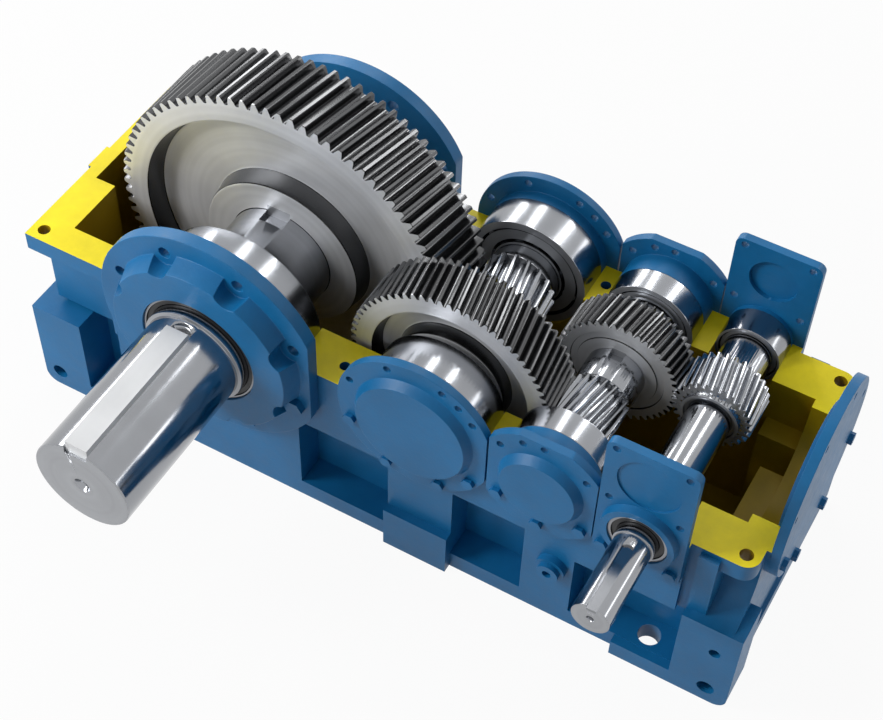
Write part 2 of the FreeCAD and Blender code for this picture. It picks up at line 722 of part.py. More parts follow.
def lower_casing():
    height = dims.shaft_height
    end = dims.casing_half_length
    wall = dims.wall_half_width
    seat = dims.seat_half_width
    foot = dims.foot_half_width
    floor = as_size(0)
    left_wall = end - 36
    left_foot = end - 5
    right_foot = end + 18
    end_foot = end + dims.end_foot_reach
    block_start = input_x + 90
    block_top = dims.foot_block_height + 6
    hollow = dims.foot_hollow
    rib_one = (output_x - 217, output_x + 147)
    both = lambda half: (-half, half)
    solids = [
        box("tub", (-left_wall, end), both(wall), (floor, height)),
        box("shoulder_left", (-left_wall, rib_one[0] + 1), both(dims.left_shoulder_half_width),
            (dims.left_shoulder, height)),
        box("end_bulge", (-(end - 4), -left_wall + 1), both(as_size(75)), (floor, height - 10)),
        box("end_pad", (-(end + 6), -(end - 30)), both(as_size(27)),
            (height - dims.flange_thick - 40, height)),
        box("beam", (rib_one[0] - 5, input_x + 73), both(seat),
            (height - dims.beam_depth, height)),
        box("input_beam", (third_x + 66, input_x + 108), both(dims.flange_half_width),
            (height - dims.beam_depth - 25, height)),
        box("input_seat", (third_x + 66, input_x + 73), both(seat),
            (height - dims.beam_depth - 25, height)),
        box("rib_output", rib_one, both(seat), (floor, height)),
        box("rib_second", (second_x - 54, second_x + 66), both(seat), (floor, height)),
        box("rib_second_foot", (second_x - 54, second_x + 66), both(foot),
            (floor, dims.rib_foot_height)),
        box("rib_third", (third_x - 24, third_x + 66), both(seat), (floor, height)),
        box("pillar", (input_x + 90, input_x + 122), both(seat), (floor, height - 10)),
        box("rail", (-left_foot, end_foot), both(seat), (floor, dims.rail_height)),
        box("foot_left", (-left_foot, rib_one[0]), both(foot), (floor, dims.rail_height - 2)),
        box("foot_right", (input_x - 14, end_foot), both(foot), (floor, dims.rail_height - 2)),
    ]
    for side, word in cover_sides:
        near = (wall, foot) if side == rear else (-foot, -wall)
        solids.append(box("block_left_" + word, (-left_foot, -left_foot + 100), near,
                          (floor, dims.foot_block_height)))
        reach = right_foot if side == front else end_foot
        solids.append(box("block_right_" + word, (block_start, reach), near,
                          (floor, block_top)))
        root = box("hollow_root_" + word, (block_start + 10, end), near,
                   (block_top - 1, block_top + hollow))
        round_tool = rod("hollow_tool_" + word, hollow, as_size(200), block_start - 20,
                         side * foot, block_top + hollow, FreeCAD.Rotation(about_y, 90))
        solids.append(without("hollow_" + word, root, [round_tool]))
    flange = box("flange", (-end, end), both(dims.flange_half_width),
                 (height - dims.flange_thick, height))
    along_z = FreeCAD.Vector(0, 0, 1)
    solids.append(rounded("flange_rounded", flange, as_size(24), along_z,
                          lambda edge: edge.CenterOfMass.x > 0))
    end_face = end + dims.end_seat_height
    solids.append(rod("end_seat", dims.end_cover_radius, dims.end_seat_height + 40, end - 40,
                      as_size(0), height, FreeCAD.Rotation(about_y, 90)))
    solids.append(rod("drain_boss", as_size(26), as_size(14), dims.drain_x, -seat + 1,
                      dims.drain_z, outward[front]))
    solid = joined("casing_solid", solids)

    cuts = [
        box("above_split", (-(end + 50), end + 50), both(as_size(300)), (height, height + 400)),
        box("cavity", (-left_wall + 28, end - 44), both(cavity_half_width),
            (dims.floor_thick, height + 1)),
        box("cavity_left", (-left_wall + 28, rib_one[0] - 33),
            both(dims.left_shoulder_half_width - 40),
            (dims.left_shoulder + dims.floor_thick, height + 1)),
        box("end_pocket", (-(end - 24), -left_wall + 29), both(as_size(45)),
            (dims.floor_thick, height + 1)),
        rod("end_bore", dims.end_bore_radius, dims.end_seat_height + 60, end - 50,
            as_size(0), height, FreeCAD.Rotation(about_y, 90)),
    ]
    corner = dims.foot_corner
    for word, edge, inner in (("left", -left_foot, -left_foot + corner),
                              ("right", right_foot - corner, right_foot)):
        centre = inner if word == "left" else edge
        block = box("corner_block_" + word, (edge - 1, inner + 1), both(foot + 1),
                    (floor - 1, corner))
        core = rod("corner_core_" + word, corner, foot * 2 + 4, centre, -foot - 2, corner,
                   outward[rear])
        keep = box("corner_keep_" + word, (centre - 2, centre) if word == "right"
                   else (centre, centre + 2), both(foot + 2), (floor - 2, corner + 1))
        cuts.append(without("corner_cut_" + word, block, [core, keep]))
    for name, line in vars(lines).items():
        cuts.append(rod("bore_" + name, line.outer + dims.seat_play, seat * 2 + 2, line.x,
                        -seat - 1, height, outward[rear]))
    for sx in (-1, 1):
        for sy in (-1, 1):
            tag = "%d_%d" % (sx + 1, sy + 1)
            cuts.append(rod("foot_hole_" + tag, dims.foot_bolt_radius,
                            dims.rail_height + 2, sx * dims.foot_bolt_x,
                            sy * dims.foot_bolt_y, as_size(-1)))
            cuts.append(rod("flange_hole_" + tag, dims.flange_bolt_radius,
                            dims.flange_thick + 2, sx * dims.flange_bolt_x,
                            sy * dims.flange_bolt_y, height - dims.flange_thick - 1))
            jack_x = -(left_foot - 33) if sx < 0 else right_foot - 38
            cuts.append(rod("jack_hole_" + tag, as_size(15), as_size(42), jack_x,
                            sy * (foot + 1), as_size(37), outward[-sy]))
            if sx > 0:
                cuts.append(rod("earth_hole_" + tag, as_size(10), as_size(42), jack_x,
                                sy * (foot + 1), as_size(142), outward[-sy]))
    for number, (x, y) in enumerate(((second_x + 126, as_size(182)), (second_x + 126, as_size(-182)),
                                     (second_x - 155, as_size(184)), (second_x - 155, as_size(-184)))):
        cuts.append(rod("joint_hole_%d" % number, as_size(9), as_size(60), x, y, height - 50))
    for number, (side, x, z, thick) in enumerate(large_bolts):
        cuts.append(rod("large_tapping_%d" % number, dims.large_bolt_radius + dims.seat_play,
                        as_size(30), x, side * (seat + 1), z, outward[-side]))
    for number, (side, x, z, thick) in enumerate(small_bolts):
        cuts.append(rod("small_tapping_%d" % number, dims.small_bolt_radius + dims.seat_play,
                        as_size(22), x, side * (seat + 1), z, outward[-side]))
    for number, (dy, dz) in enumerate(end_bolts):
        cuts.append(rod("end_tapping_%d" % number, dims.small_bolt_radius + dims.seat_play,
                        as_size(24), end_face - 24, as_size(dy), height + dz,
                        FreeCAD.Rotation(about_y, 90)))
    cuts.append(rod("drain_bore", dims.plug_radius - 3, as_size(100), dims.drain_x, -seat - 20,
                    dims.drain_z, outward[rear]))
    inner = cavity_half_width + 1
    shell = without("casing_shell", solid, cuts)
    shelf = box("end_shelf", (input_x + 63, end - 43), (inner - 40, inner),
                (dims.floor_thick - 1, dims.shelf_height))
    ledge = box("end_ledge", (input_x + 88, end - 43), (-inner, as_size(60)),
                (dims.floor_thick - 1, dims.ledge_height))
    piece(joined("lower_casing", [shell, shelf, ledge]), "lower_casing")


lower_casing()


# Bolts

def hexagon_bolt(radius, flats, head, grip):
    """A bolt along +Z: shank from -grip to 0 and its head above."""
    corner = flats / math.sqrt(3)
    points = []
    for number in range(6):
        angle = math.pi * number / 3
        points.append(FreeCAD.Vector(corner * math.cos(angle), corner * math.sin(angle), 0))
    hexagon = Part.Face(Part.makePolygon(points + points[:1]))
    shank = Part.makeCylinder(radius, grip, FreeCAD.Vector(0, 0, -grip))
    return hexagon.extrude(FreeCAD.Vector(0, 0, head)).fuse(shank).removeSplitter()


def bolt_group(label, places, radius, flats, depth):
    solids = []
    for side, x, z, thick in places:
        bolt = hexagon_bolt(radius.number, flats.number, radius.number * 1.25,
                            thick.number + depth)
        bolt.Placement = FreeCAD.Placement(
            FreeCAD.Vector(x.number, side * (dims.seat_half_width + thick).number, z.number),
            outward[side])
        solids.append(bolt)
    piece(placed_shape(label, Part.makeCompound(solids)), label)


bolt_group("large_cover_bolts", large_bolts, dims.large_bolt_radius, dims.large_bolt_flats, 28)
bolt_group("small_cover_bolts", small_bolts, dims.small_bolt_radius, dims.small_bolt_flats, 20)


def end_bolt_group():
    outer_face = (dims.casing_half_length + dims.end_seat_height + dims.end_cover_thick).number
    solids = []
    for dy, dz in end_bolts:
        bolt = hexagon_bolt(dims.small_bolt_radius.number, dims.small_bolt_flats.number, 8,
                            dims.end_cover_thick.number + 22)
        bolt.Placement = FreeCAD.Placement(
            FreeCAD.Vector(outer_face, dy, dims.shaft_height.number + dz),
            FreeCAD.Rotation(about_y, 90))
        solids.append(bolt)
    piece(placed_shape("end_cover_bolts", Part.makeCompound(solids)), "end_cover_bolts")


end_bolt_group()


def drain_plug():
    stem = Part.makeCylinder(dims.plug_radius.number - 3 - dims.seat_play.number, 30,
                             FreeCAD.Vector(0, 0, -30))
    head = Part.makeCylinder(dims.plug_radius.number + 3, 9)
    socket = Part.makeCylinder(8, 10, FreeCAD.Vector(0, 0, 1))
    plug = stem.fuse(head).removeSplitter().cut(socket)
    plug.Placement = FreeCAD.Placement(
        FreeCAD.Vector(dims.drain_x.number, -(dims.seat_half_width + 13).number,
                       dims.drain_z.number), outward[front])
    piece(placed_shape("oil_drain_plug", plug), "oil_drain_plug")


drain_plug()


# Output shaft, gear and keys

height = dims.shaft_height


def output_line():
    x = output_x
    start = -dims.output_end_reach
    steps = [
        (dims.output_end_radius, dims.output_end_reach - 290),
        (dims.output_journal_radius, dims.output_end_reach - dims.bearing_reach
         - dims.bearing_one_width),
        (dims.output_seat_radius, dims.output_end_reach + dims.bearing_reach
         + dims.bearing_one_width),
    ]
    blank = turned("output_blank", stepped(steps, as_size(3)), x, start, height)
    top = height + dims.output_end_radius
    depth = dims.output_key_height * 0.59
    slot = box("output_slot",
               (x - dims.output_key_width / 2, x + dims.output_key_width / 2),
               (start - 1, start + dims.output_key_length + 1), (top - depth, top + 20))
    slot_end = rod("output_slot_end", dims.output_key_width / 2, depth + 20, x,
                   start + dims.output_key_length + 1, top - depth)
    centre = taper("output_centre", as_size(14), as_size(9), as_size(20), x, start - 0.01,
                   height, outward[rear])
    gear_half = as_size(22)
    gear_key_low = dims.low_start - 26
    gear_key_high = dims.low_start + dims.low_width - 6
    seat_top = height + dims.output_seat_radius
    gear_slot = box("output_gear_slot", (x - gear_half, x + gear_half),
                    (gear_key_low, gear_key_high), (seat_top - 13, seat_top + 20))
    piece(without("output_shaft", blank, [slot, slot_end, centre, gear_slot]), "output_shaft")

    play = dims.seat_play
    key = box("output_key_block",
              (x - dims.output_key_width / 2 + play, x + dims.output_key_width / 2 - play),
              (start + 4, start + dims.output_key_length),
              (top - depth + play, top - depth + dims.output_key_height))
    piece(key, "output_key")
    gear_key = box("output_gear_key_block", (x - gear_half + play, x + gear_half - play),
                   (dims.low_start, gear_key_high - play),
                   (seat_top - 13 + play, seat_top + 9 - play))
    piece(gear_key, "output_gear_key")

    teeth, cuts = gear_wheel("output_gear_part", gear_teeth.low_gear, dims.low_module,
                             low_cosine, right_hand, x, dims.low_start, dims.low_width,
                             dims.output_seat_radius, as_size(43), as_size(146), as_size(60))
    cuts.append(box("output_gear_keyway", (x - gear_half, x + gear_half),
                    (dims.low_start - 1, dims.low_start + dims.low_width + 1),
                    (height + 20, seat_top + 9)))
    piece(without("output_gear", teeth, cuts), "output_gear")


output_line()


def pinion_shaft(name, label, steps, start, x, teeth_shape, tools):
    blank = turned(name + "_blank", stepped(steps, as_size(2)), x, start, height)
    teeth = moved_teeth(name + "_teeth", teeth_shape, x)
    solid = joined(name + "_solid", [blank, teeth])
    if tools:
        solid = without(name, solid, tools)
    piece(solid, label)


def second_line():
    x = second_x
    reach = dims.bearing_reach + dims.bearing_two_width
    start = -reach
    pinion_low = dims.low_start - 3
    pinion_width = dims.low_width + 14
    root_radius = dims.low_module * (gear_teeth.low_pinion / low_cosine / 2 - 1.25)
    steps = [
        (dims.second_seat_radius, reach - dims.bearing_reach),
        (dims.second_gear_radius, reach + dims.mid_start + dims.mid_width + 1),
        (root_radius - 0.3, reach + pinion_low + pinion_width + 1),
        (dims.second_gear_radius, reach + dims.bearing_reach),
        (dims.second_seat_radius, reach + reach),
    ]
    middle = dims.low_start.number + dims.low_width.number / 2
    turn = math.pi + math.pi / gear_teeth.low_pinion
    teeth = toothed_blank(gear_teeth.low_pinion, dims.low_module, low_cosine, left_hand,
                          pinion_low.number, pinion_width.number, middle, turn, 4)
    half = as_size(16)
    seat_top = height + dims.second_gear_radius
    slot = box("second_slot", (x - half, x + half),
               (dims.mid_start, dims.mid_start + dims.mid_width - 2),
               (seat_top - 10, seat_top + 20))
    pinion_shaft("second_shaft", "second_pinion_shaft", steps, start, x, teeth, [slot])
    play = dims.seat_play
    key = box("second_key_block", (x - half + play, x + half - play),
              (dims.mid_start, dims.mid_start + dims.mid_width - 2 - play),
              (seat_top - 10 + play, seat_top + 6 - play))
    piece(key, "second_gear_key")
    gear, cuts = gear_wheel("second_gear_part", gear_teeth.mid_gear, dims.mid_module,
                            mid_cosine, left_hand, x, dims.mid_start, dims.mid_width,
                            dims.second_gear_radius, as_size(35), as_size(98), as_size(40))
    cuts.append(box("second_gear_keyway", (x - half, x + half),
                    (dims.mid_start - 1, dims.mid_start + dims.mid_width + 1),
                    (height + 20, seat_top + 6)))
    piece(without("second_gear", gear, cuts), "second_gear")
    sleeve = turned("second_sleeve", [
        (dims.second_gear_radius + play, as_size(0)), (dims.second_gear_radius + 14, as_size(0)),
        (dims.second_gear_radius + 14, dims.bearing_reach + dims.mid_start),
        (dims.second_gear_radius + play, dims.bearing_reach + dims.mid_start)],
        x, -dims.bearing_reach, height)
    piece(sleeve, "second_spacer_sleeve")


second_line()


def third_line():
    x = third_x
    reach = dims.bearing_reach + dims.bearing_three_width
    start = -reach
    pinion_low = dims.mid_start - 9
    pinion_width = dims.mid_width + 12
    root_radius = dims.mid_module * (gear_teeth.mid_pinion / mid_cosine / 2 - 1.25)
    tip_radius = dims.mid_module * (gear_teeth.mid_pinion / mid_cosine / 2 + 1)
    steps = [
        (dims.third_seat_radius, reach - dims.bearing_reach),
        (root_radius - 0.3, reach + pinion_low + pinion_width - 1),
        (tip_radius, reach + dims.high_start),
        (dims.third_gear_radius, reach + dims.bearing_reach),
        (dims.third_seat_radius, reach + reach),
    ]
    middle = dims.mid_start.number + dims.mid_width.number / 2
    turn = math.pi + math.pi / gear_teeth.mid_pinion
    teeth = toothed_blank(gear_teeth.mid_pinion, dims.mid_module, mid_cosine, right_hand,
                          pinion_low.number, pinion_width.number, middle, turn, 4)
    half = as_size(12)
    seat_top = height + dims.third_gear_radius
    slot = box("third_slot", (x - half, x + half),
               (dims.high_start - 14, dims.high_start + dims.high_width - 2),
               (seat_top - 8, seat_top + 20))
    pinion_shaft("third_shaft", "third_pinion_shaft", steps, start, x, teeth, [slot])
    play = dims.seat_play
    key = box("third_key_block", (x - half + play, x + half - play),
              (dims.high_start, dims.high_start + dims.high_width - 2 - play),
              (seat_top - 8 + play, seat_top + 5 - play))
    piece(key, "third_gear_key")
    gear, cuts = gear_wheel("third_gear_part", gear_teeth.high_gear, dims.high_module,
                            high_cosine, right_hand, x, dims.high_start, dims.high_width,
                            dims.third_gear_radius, as_size(20), as_size(70), as_size(62))
    cuts.append(box("third_gear_keyway", (x - half, x + half),
                    (dims.high_start - 1, dims.high_start + dims.high_width + 1),
                    (height + 20, seat_top + 5)))
    piece(without("third_gear", gear, cuts), "third_gear")
    length = dims.bearing_reach - dims.high_start - dims.high_width
    sleeve = turned("third_sleeve", [
        (dims.third_gear_radius + play, as_size(0)), (dims.third_gear_radius + 12, as_size(0)),
        (dims.third_gear_radius + 12, length), (dims.third_gear_radius + play, length)],
        x, dims.high_start + dims.high_width, height)
    piece(sleeve, "third_spacer_sleeve")


third_line()


def input_line():
    x = input_x
    start = -dims.input_end_reach
    front_reach = dims.bearing_four_reach + dims.bearing_four_width
    pinion_low = dims.high_start - 4
    pinion_width = dims.high_width + 6
    collar = dims.input_body_radius + 12
    steps = [
        (dims.input_end_radius, dims.input_end_reach - 262),
        (dims.input_journal_radius, dims.input_end_reach - front_reach),
        (dims.input_seat_radius, dims.input_end_reach - dims.bearing_four_reach),
        (dims.input_body_radius, dims.input_end_reach + pinion_low - 9),
        (collar, dims.input_end_reach + pinion_low + 1),
        (dims.input_body_radius + 5, dims.input_end_reach + dims.bearing_four_reach),
        (dims.input_seat_radius, dims.input_end_reach + front_reach),
    ]
    middle = dims.high_start.number + dims.high_width.number / 2
    turn = math.pi + math.pi / gear_teeth.high_pinion
    teeth = toothed_blank(gear_teeth.high_pinion, dims.high_module, high_cosine, left_hand,
                          pinion_low.number, pinion_width.number, middle, turn, 2)
    top = height + dims.input_end_radius
    slot = box("input_slot", (x - dims.input_key_width / 2, x + dims.input_key_width / 2),
               (start - 1, start + 117), (top - dims.input_key_depth, top + 10))
    slot_end = rod("input_slot_end", dims.input_key_width / 2, dims.input_key_depth + 10, x,
                   start + 117, top - dims.input_key_depth)
    centre = taper("input_centre", as_size(6), as_size(4), as_size(10), x, start - 0.01,
                   height, outward[rear])
    recess = without("input_recess",
                     rod("input_recess_ring", collar - 6, as_size(6), x, pinion_low - 9.01,
                         height, outward[rear]),
                     [rod("input_recess_core", dims.input_body_radius, as_size(8), x,
                          pinion_low - 10, height, outward[rear])])
    pinion_shaft("input_shaft", "input_pinion_shaft", steps, start, x, teeth,
                 [slot, slot_end, centre, recess])


input_line()


# Check and export

doc.recompute()
for item in doc.Objects:
    if "Invalid" in item.State or "Error" in item.State:
        raise RuntimeError("%s failed: %s" % (item.Name, item.State))
os.makedirs("parts", exist_ok=True)
broken = [item.Label for item in pieces if item.Shape.isNull() or not item.Shape.isValid()]
for item in pieces:
    shape = item.Shape
    shape.exportStep("parts/%s.step" % item.Label)
    print("%-28s solids %3d volume %.0f" % (item.Label, len(shape.Solids), shape.Volume))
if broken:
    raise RuntimeError("no valid shape: %s" % ", ".join(broken))
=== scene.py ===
import math
import bmesh
import bpy
from mathutils import Euler, Matrix, Vector


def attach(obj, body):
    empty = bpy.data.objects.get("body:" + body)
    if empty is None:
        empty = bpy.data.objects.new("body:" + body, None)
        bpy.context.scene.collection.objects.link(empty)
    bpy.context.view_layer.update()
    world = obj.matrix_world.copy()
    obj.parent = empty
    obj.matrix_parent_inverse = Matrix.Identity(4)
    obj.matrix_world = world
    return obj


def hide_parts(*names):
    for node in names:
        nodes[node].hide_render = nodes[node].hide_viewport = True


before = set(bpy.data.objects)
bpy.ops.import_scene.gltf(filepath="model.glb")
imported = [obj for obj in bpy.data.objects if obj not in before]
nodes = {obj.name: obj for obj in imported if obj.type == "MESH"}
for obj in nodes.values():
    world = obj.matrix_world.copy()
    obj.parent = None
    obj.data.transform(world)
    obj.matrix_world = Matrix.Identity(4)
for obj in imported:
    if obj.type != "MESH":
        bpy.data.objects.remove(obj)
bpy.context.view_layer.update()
scene = bpy.context.scene
mm = 0.001

# where the shafts run: X of each axis, and their common height
lines = {"output": -270 * mm, "second": 103 * mm, "third": 324 * mm, "input": 490 * mm}
axisZ = 355 * mm


# materials
paint = {
    "blue": (0.004, 0.118, 0.29, 1),
    "yellow": (0.78, 0.64, 0.003, 1),
    # the inside yellow: the yellow paint darkened as painted shade for the hollow, pocket and
    # holes
    "yellowInsidePaintedShade": (0.32, 0.205, 0.002, 1),
    "rough": 0.42,
    "gloss": 0.3,
    "peel": 240.0,      # orange peel per metre
    "cast": 60.0,       # casting swell per metre
    "bump": 0.0006,
    "bumpStrength": 0.5,
    # where the casing is yellow, in metres: hollow, left pocket, split face and flange holes; the
    # hollow, pocket and holes take a darker yellow, which is the real yellow paint darkened as
    # painted shade
    "insideY": 0.1624,
    "insideLow": -0.619,
    "insideHigh": 0.655,
    "pocketHalf": 0.052,
    "pocketLow": -0.642,
    "floorLow": 0.01,
    "splitLow": 0.3543,
    "holeLow": (0.627, 0.175, 0.31),
    "holeHigh": (0.655, 0.203, 1.0),
    "beyond": 2.0,
}
# metal mirrors the white studio, so its colours are written darker than bare steel;
# the two roughnesses are for round surfaces and for faces square to the shaft, and the flank tone
# darkens round surfaces and tooth flanks, which on the gears is painted shade
steel = {
    "shaft": {"colour": (0.32, 0.33, 0.35, 1), "round": 0.13, "face": 0.34, "depth": 6e-6,
              "flankPaintedShade": 1.0, "metal": 1.0},
    "gear": {"colour": (0.66, 0.67, 0.69, 1), "round": 0.2, "face": 0.46, "depth": 12e-6,
             "flankPaintedShade": 0.16, "metal": 1.0},
    "race": {"colour": (0.30, 0.31, 0.33, 1), "round": 0.17, "face": 0.3, "depth": 6e-6,
             "flankPaintedShade": 1.0, "metal": 1.0},
    "key": {"colour": (0.62, 0.63, 0.64, 1), "round": 0.38, "face": 0.38, "depth": 6e-6,
            "flankPaintedShade": 1.0, "metal": 0.4},
}
steelMarks = {"perMetre": 2500.0, "faceMetal": 0.6, "bumpStrength": 0.6}
rubber = {"colour": (0.012, 0.012, 0.013, 1), "peel": 400.0, "cast": 90.0, "rough": 0.5,
          "bump": 0.0003, "bumpStrength": 0.4}
# noises of the two groups; the fours are a noise's low and high end and what they become
skinNoise = {
    "driftScale": 7.0, "driftDetail": 2.0, "driftTone": (0.3, 0.7, 0.86, 1.1),
    "fineDetail": 4.0, "fineRough": 0.6, "fineTone": (0.25, 0.75, 0.94, 1.05),
    "fineSpread": (0.2, 0.8, -0.05, 0.07), "peelDetail": 1.0, "peelShare": 0.25,
}
markNoise = {
    "lineDetail": 2.0, "lineRough": 0.6, "faceFrom": 0.8, "faceFull": 0.95,
    "wideScale": 60.0, "wideDetail": 1.0, "wideTone": (0.3, 0.7, 0.93, 1.04),
    "blotchScale": 9.0, "blotchDetail": 4.0, "blotchRough": 0.6,
    "blotchTone": (0.25, 0.75, 0.92, 1.05), "blotchSpread": (0.3, 0.7, -0.02, 0.03),
}


def newGroup(name, inputs, outputs):
    tree = bpy.data.node_groups.new(name, "ShaderNodeTree")
    for side, sockets in (("INPUT", inputs), ("OUTPUT", outputs)):
        for label, kind in sockets:
            tree.interface.new_socket(label, in_out=side, socket_type="NodeSocket" + kind)
    start = tree.nodes.new("NodeGroupInput")
    end = tree.nodes.new("NodeGroupOutput")
    return tree, start, end


def mathNode(tree, operation, first, second=None):
    node = tree.nodes.new("ShaderNodeMath")
    node.operation = operation
    for index, value in enumerate((first, second)):
        if value is None:
            continue
        if isinstance(value, (int, float)):
            node.inputs[index].default_value = value
        else:
            tree.links.new(value, node.inputs[index])
    return node.outputs[0]


def noiseNode(tree, vector, scale, detail=3.0, rough=0.5, dimensions="3D"):
    node = tree.nodes.new("ShaderNodeTexNoise")
    node.noise_dimensions = dimensions
    target = node.inputs["W"] if dimensions == "1D" else node.inputs["Vector"]
    tree.links.new(vector, target)
    if isinstance(scale, (int, float)):
        node.inputs["Scale"].default_value = scale
    else:
        tree.links.new(scale, node.inputs["Scale"])
    node.inputs["Detail"].default_value = detail
    node.inputs["Roughness"].default_value = rough
    return node.outputs["Fac"]


def rangeNode(tree, value, low, high, outLow=0.0, outHigh=1.0):
    node = tree.nodes.new("ShaderNodeMapRange")
    tree.links.new(value, node.inputs["Value"])
    for label, number in (("From Min", low), ("From Max", high)):
        node.inputs[label].default_value = number
    for label, number in (("To Min", outLow), ("To Max", outHigh)):
        if isinstance(number, (int, float)):
            node.inputs[label].default_value = number
        else:
            tree.links.new(number, node.inputs[label])
    return node.outputs["Result"]


def mixColour(tree, factor, first, second):
    node = tree.nodes.new("ShaderNodeMix")
    node.data_type = "RGBA"
    sockets = [s for s in node.inputs if s.type == "RGBA"]
    tree.links.new(factor, node.inputs[0])
    for socket, value in zip(sockets, (first, second)):
        if isinstance(value, tuple):
            socket.default_value = value
        else:
            tree.links.new(value, socket)
    return [s for s in node.outputs if s.type == "RGBA"][0]


def makeBoxMask():
    # 1 inside a block of space, 0 outside
    tree, start, end = newGroup(
        "boxMask",
        [("Vector", "Vector"), ("Low", "Vector"), ("High", "Vector")],
        [("Mask", "Float")])
    parts = []
    for label in ("Vector", "Low", "High"):
        split = tree.nodes.new("ShaderNodeSeparateXYZ")
        tree.links.new(start.outputs[label], split.inputs[0])
        parts.append(split.outputs)
    total = None
    for axis in range(3):
        above = mathNode(tree, "GREATER_THAN", parts[0][axis], parts[1][axis])
        below = mathNode(tree, "LESS_THAN", parts[0][axis], parts[2][axis])
        both = mathNode(tree, "MULTIPLY", above, below)
        total = both if total is None else mathNode(tree, "MULTIPLY", total, both)
    tree.links.new(total, end.inputs["Mask"])
    return tree


def makePaintSkin():
    # sprayed paint over casting: slight tone drift, dust in the tone, orange peel
    tree, start, end = newGroup(
        "paintSkin",
        [("Vector", "Vector"), ("Color", "Color"), ("Peel Scale", "Float"),
         ("Cast Scale", "Float"), ("Roughness", "Float")],
        [("Color", "Color"), ("Roughness", "Float"), ("Height", "Float")])
    v = skinNoise
    vector = start.outputs["Vector"]
    drift = noiseNode(tree, vector, v["driftScale"], v["driftDetail"])
    fine = noiseNode(tree, vector, start.outputs["Cast Scale"], v["fineDetail"],
                     v["fineRough"])
    peel = noiseNode(tree, vector, start.outputs["Peel Scale"], v["peelDetail"])
    dark = rangeNode(tree, drift, *v["driftTone"])
    speck = rangeNode(tree, fine, *v["fineTone"])
    tone = mathNode(tree, "MULTIPLY", dark, speck)
    scaled = tree.nodes.new("ShaderNodeVectorMath")
    scaled.operation = "SCALE"
    tree.links.new(start.outputs["Color"], scaled.inputs[0])
    tree.links.new(tone, scaled.inputs["Scale"])
    tree.links.new(scaled.outputs[0], end.inputs["Color"])
    spread = rangeNode(tree, fine, *v["fineSpread"])
    tree.links.new(mathNode(tree, "ADD", start.outputs["Roughness"], spread),
                   end.inputs["Roughness"])
    height = mathNode(tree, "ADD", mathNode(tree, "MULTIPLY", peel, v["peelShare"]), fine)
    tree.links.new(height, end.inputs["Height"])
    return tree


def makeTurningMarks():
    # fine rings on the faces square to the shaft's axis; round surfaces and flanks stay smooth
    tree, start, end = newGroup(
        "turningMarks",
        [("Vector", "Vector"), ("Marks", "Float"), ("Color", "Color"), ("Roughness", "Float"),
         ("Face Roughness", "Float"), ("Flank Tone", "Float"), ("Metal", "Float"),
         ("Normal", "Vector")],
        [("Color", "Color"), ("Roughness", "Float"), ("Metallic", "Float"),
         ("Height", "Float")])
    v = markNoise
    split = tree.nodes.new("ShaderNodeSeparateXYZ")
    tree.links.new(start.outputs["Vector"], split.inputs[0])
    across = mathNode(tree, "MULTIPLY", split.outputs[0], split.outputs[0])
    up = mathNode(tree, "MULTIPLY", split.outputs[2], split.outputs[2])
    radius = mathNode(tree, "SQRT", mathNode(tree, "ADD", across, up))
    line = (v["lineDetail"], v["lineRough"], "1D")
    rings = noiseNode(tree, radius, start.outputs["Marks"], *line)
    turns = noiseNode(tree, split.outputs[1], start.outputs["Marks"], *line)
    facing = tree.nodes.new("ShaderNodeSeparateXYZ")
    tree.links.new(start.outputs["Normal"], facing.inputs[0])
    side = rangeNode(tree, mathNode(tree, "ABSOLUTE", facing.outputs[1]), v["faceFrom"],
                     v["faceFull"])
    marks = mathNode(tree, "MULTIPLY", mathNode(tree, "ADD", rings, turns), side)
    tree.links.new(marks, end.inputs["Height"])
    wide = noiseNode(tree, radius, v["wideScale"], v["wideDetail"], dimensions="1D")
    blotch = noiseNode(tree, start.outputs["Vector"], v["blotchScale"], v["blotchDetail"],
                       v["blotchRough"])
    tone = mathNode(tree, "MULTIPLY", rangeNode(tree, wide, *v["wideTone"]),
                    rangeNode(tree, blotch, *v["blotchTone"]))
    # round surfaces and tooth flanks take a darker colour than the faces; on the gears this is
    # painted shade
    tone = mathNode(tree, "MULTIPLY", tone,
                    rangeNode(tree, side, 0.0, 1.0, start.outputs["Flank Tone"], 1.0))
    scaled = tree.nodes.new("ShaderNodeVectorMath")
    scaled.operation = "SCALE"
    tree.links.new(start.outputs["Color"], scaled.inputs[0])
    tree.links.new(tone, scaled.inputs["Scale"])
    tree.links.new(scaled.outputs[0], end.inputs["Color"])
    spread = rangeNode(tree, blotch, *v["blotchSpread"])
    rough = rangeNode(tree, side, 0.0, 1.0, start.outputs["Roughness"],
                      start.outputs["Face Roughness"])
    metal = mathNode(tree, "MULTIPLY", start.outputs["Metal"],
                     rangeNode(tree, side, 0.0, 1.0, 1.0, steelMarks["faceMetal"]))
    tree.links.new(metal, end.inputs["Metallic"])
    tree.links.new(mathNode(tree, "ADD", rough, spread), end.inputs["Roughness"])
    return tree


boxMask = makeBoxMask()
paintSkin = makePaintSkin()
turningMarks = makeTurningMarks()


def newMaterial(name):
    material = bpy.data.materials.new(name)
    material.use_nodes = True
    tree = material.node_tree
    shader = tree.nodes["Principled BSDF"]
    place = tree.nodes.new("ShaderNodeTexCoord")
    return material, tree, shader, place.outputs["Object"]


def placeGroup(tree, group, **values):
    node = tree.nodes.new("ShaderNodeGroup")
    node.node_tree = group
    for label, value in values.items():
        socket = node.inputs[label.replace("_", " ")]
        if isinstance(value, (int, float, tuple)):
            socket.default_value = value
        else:
            tree.links.new(value, socket)
    return node


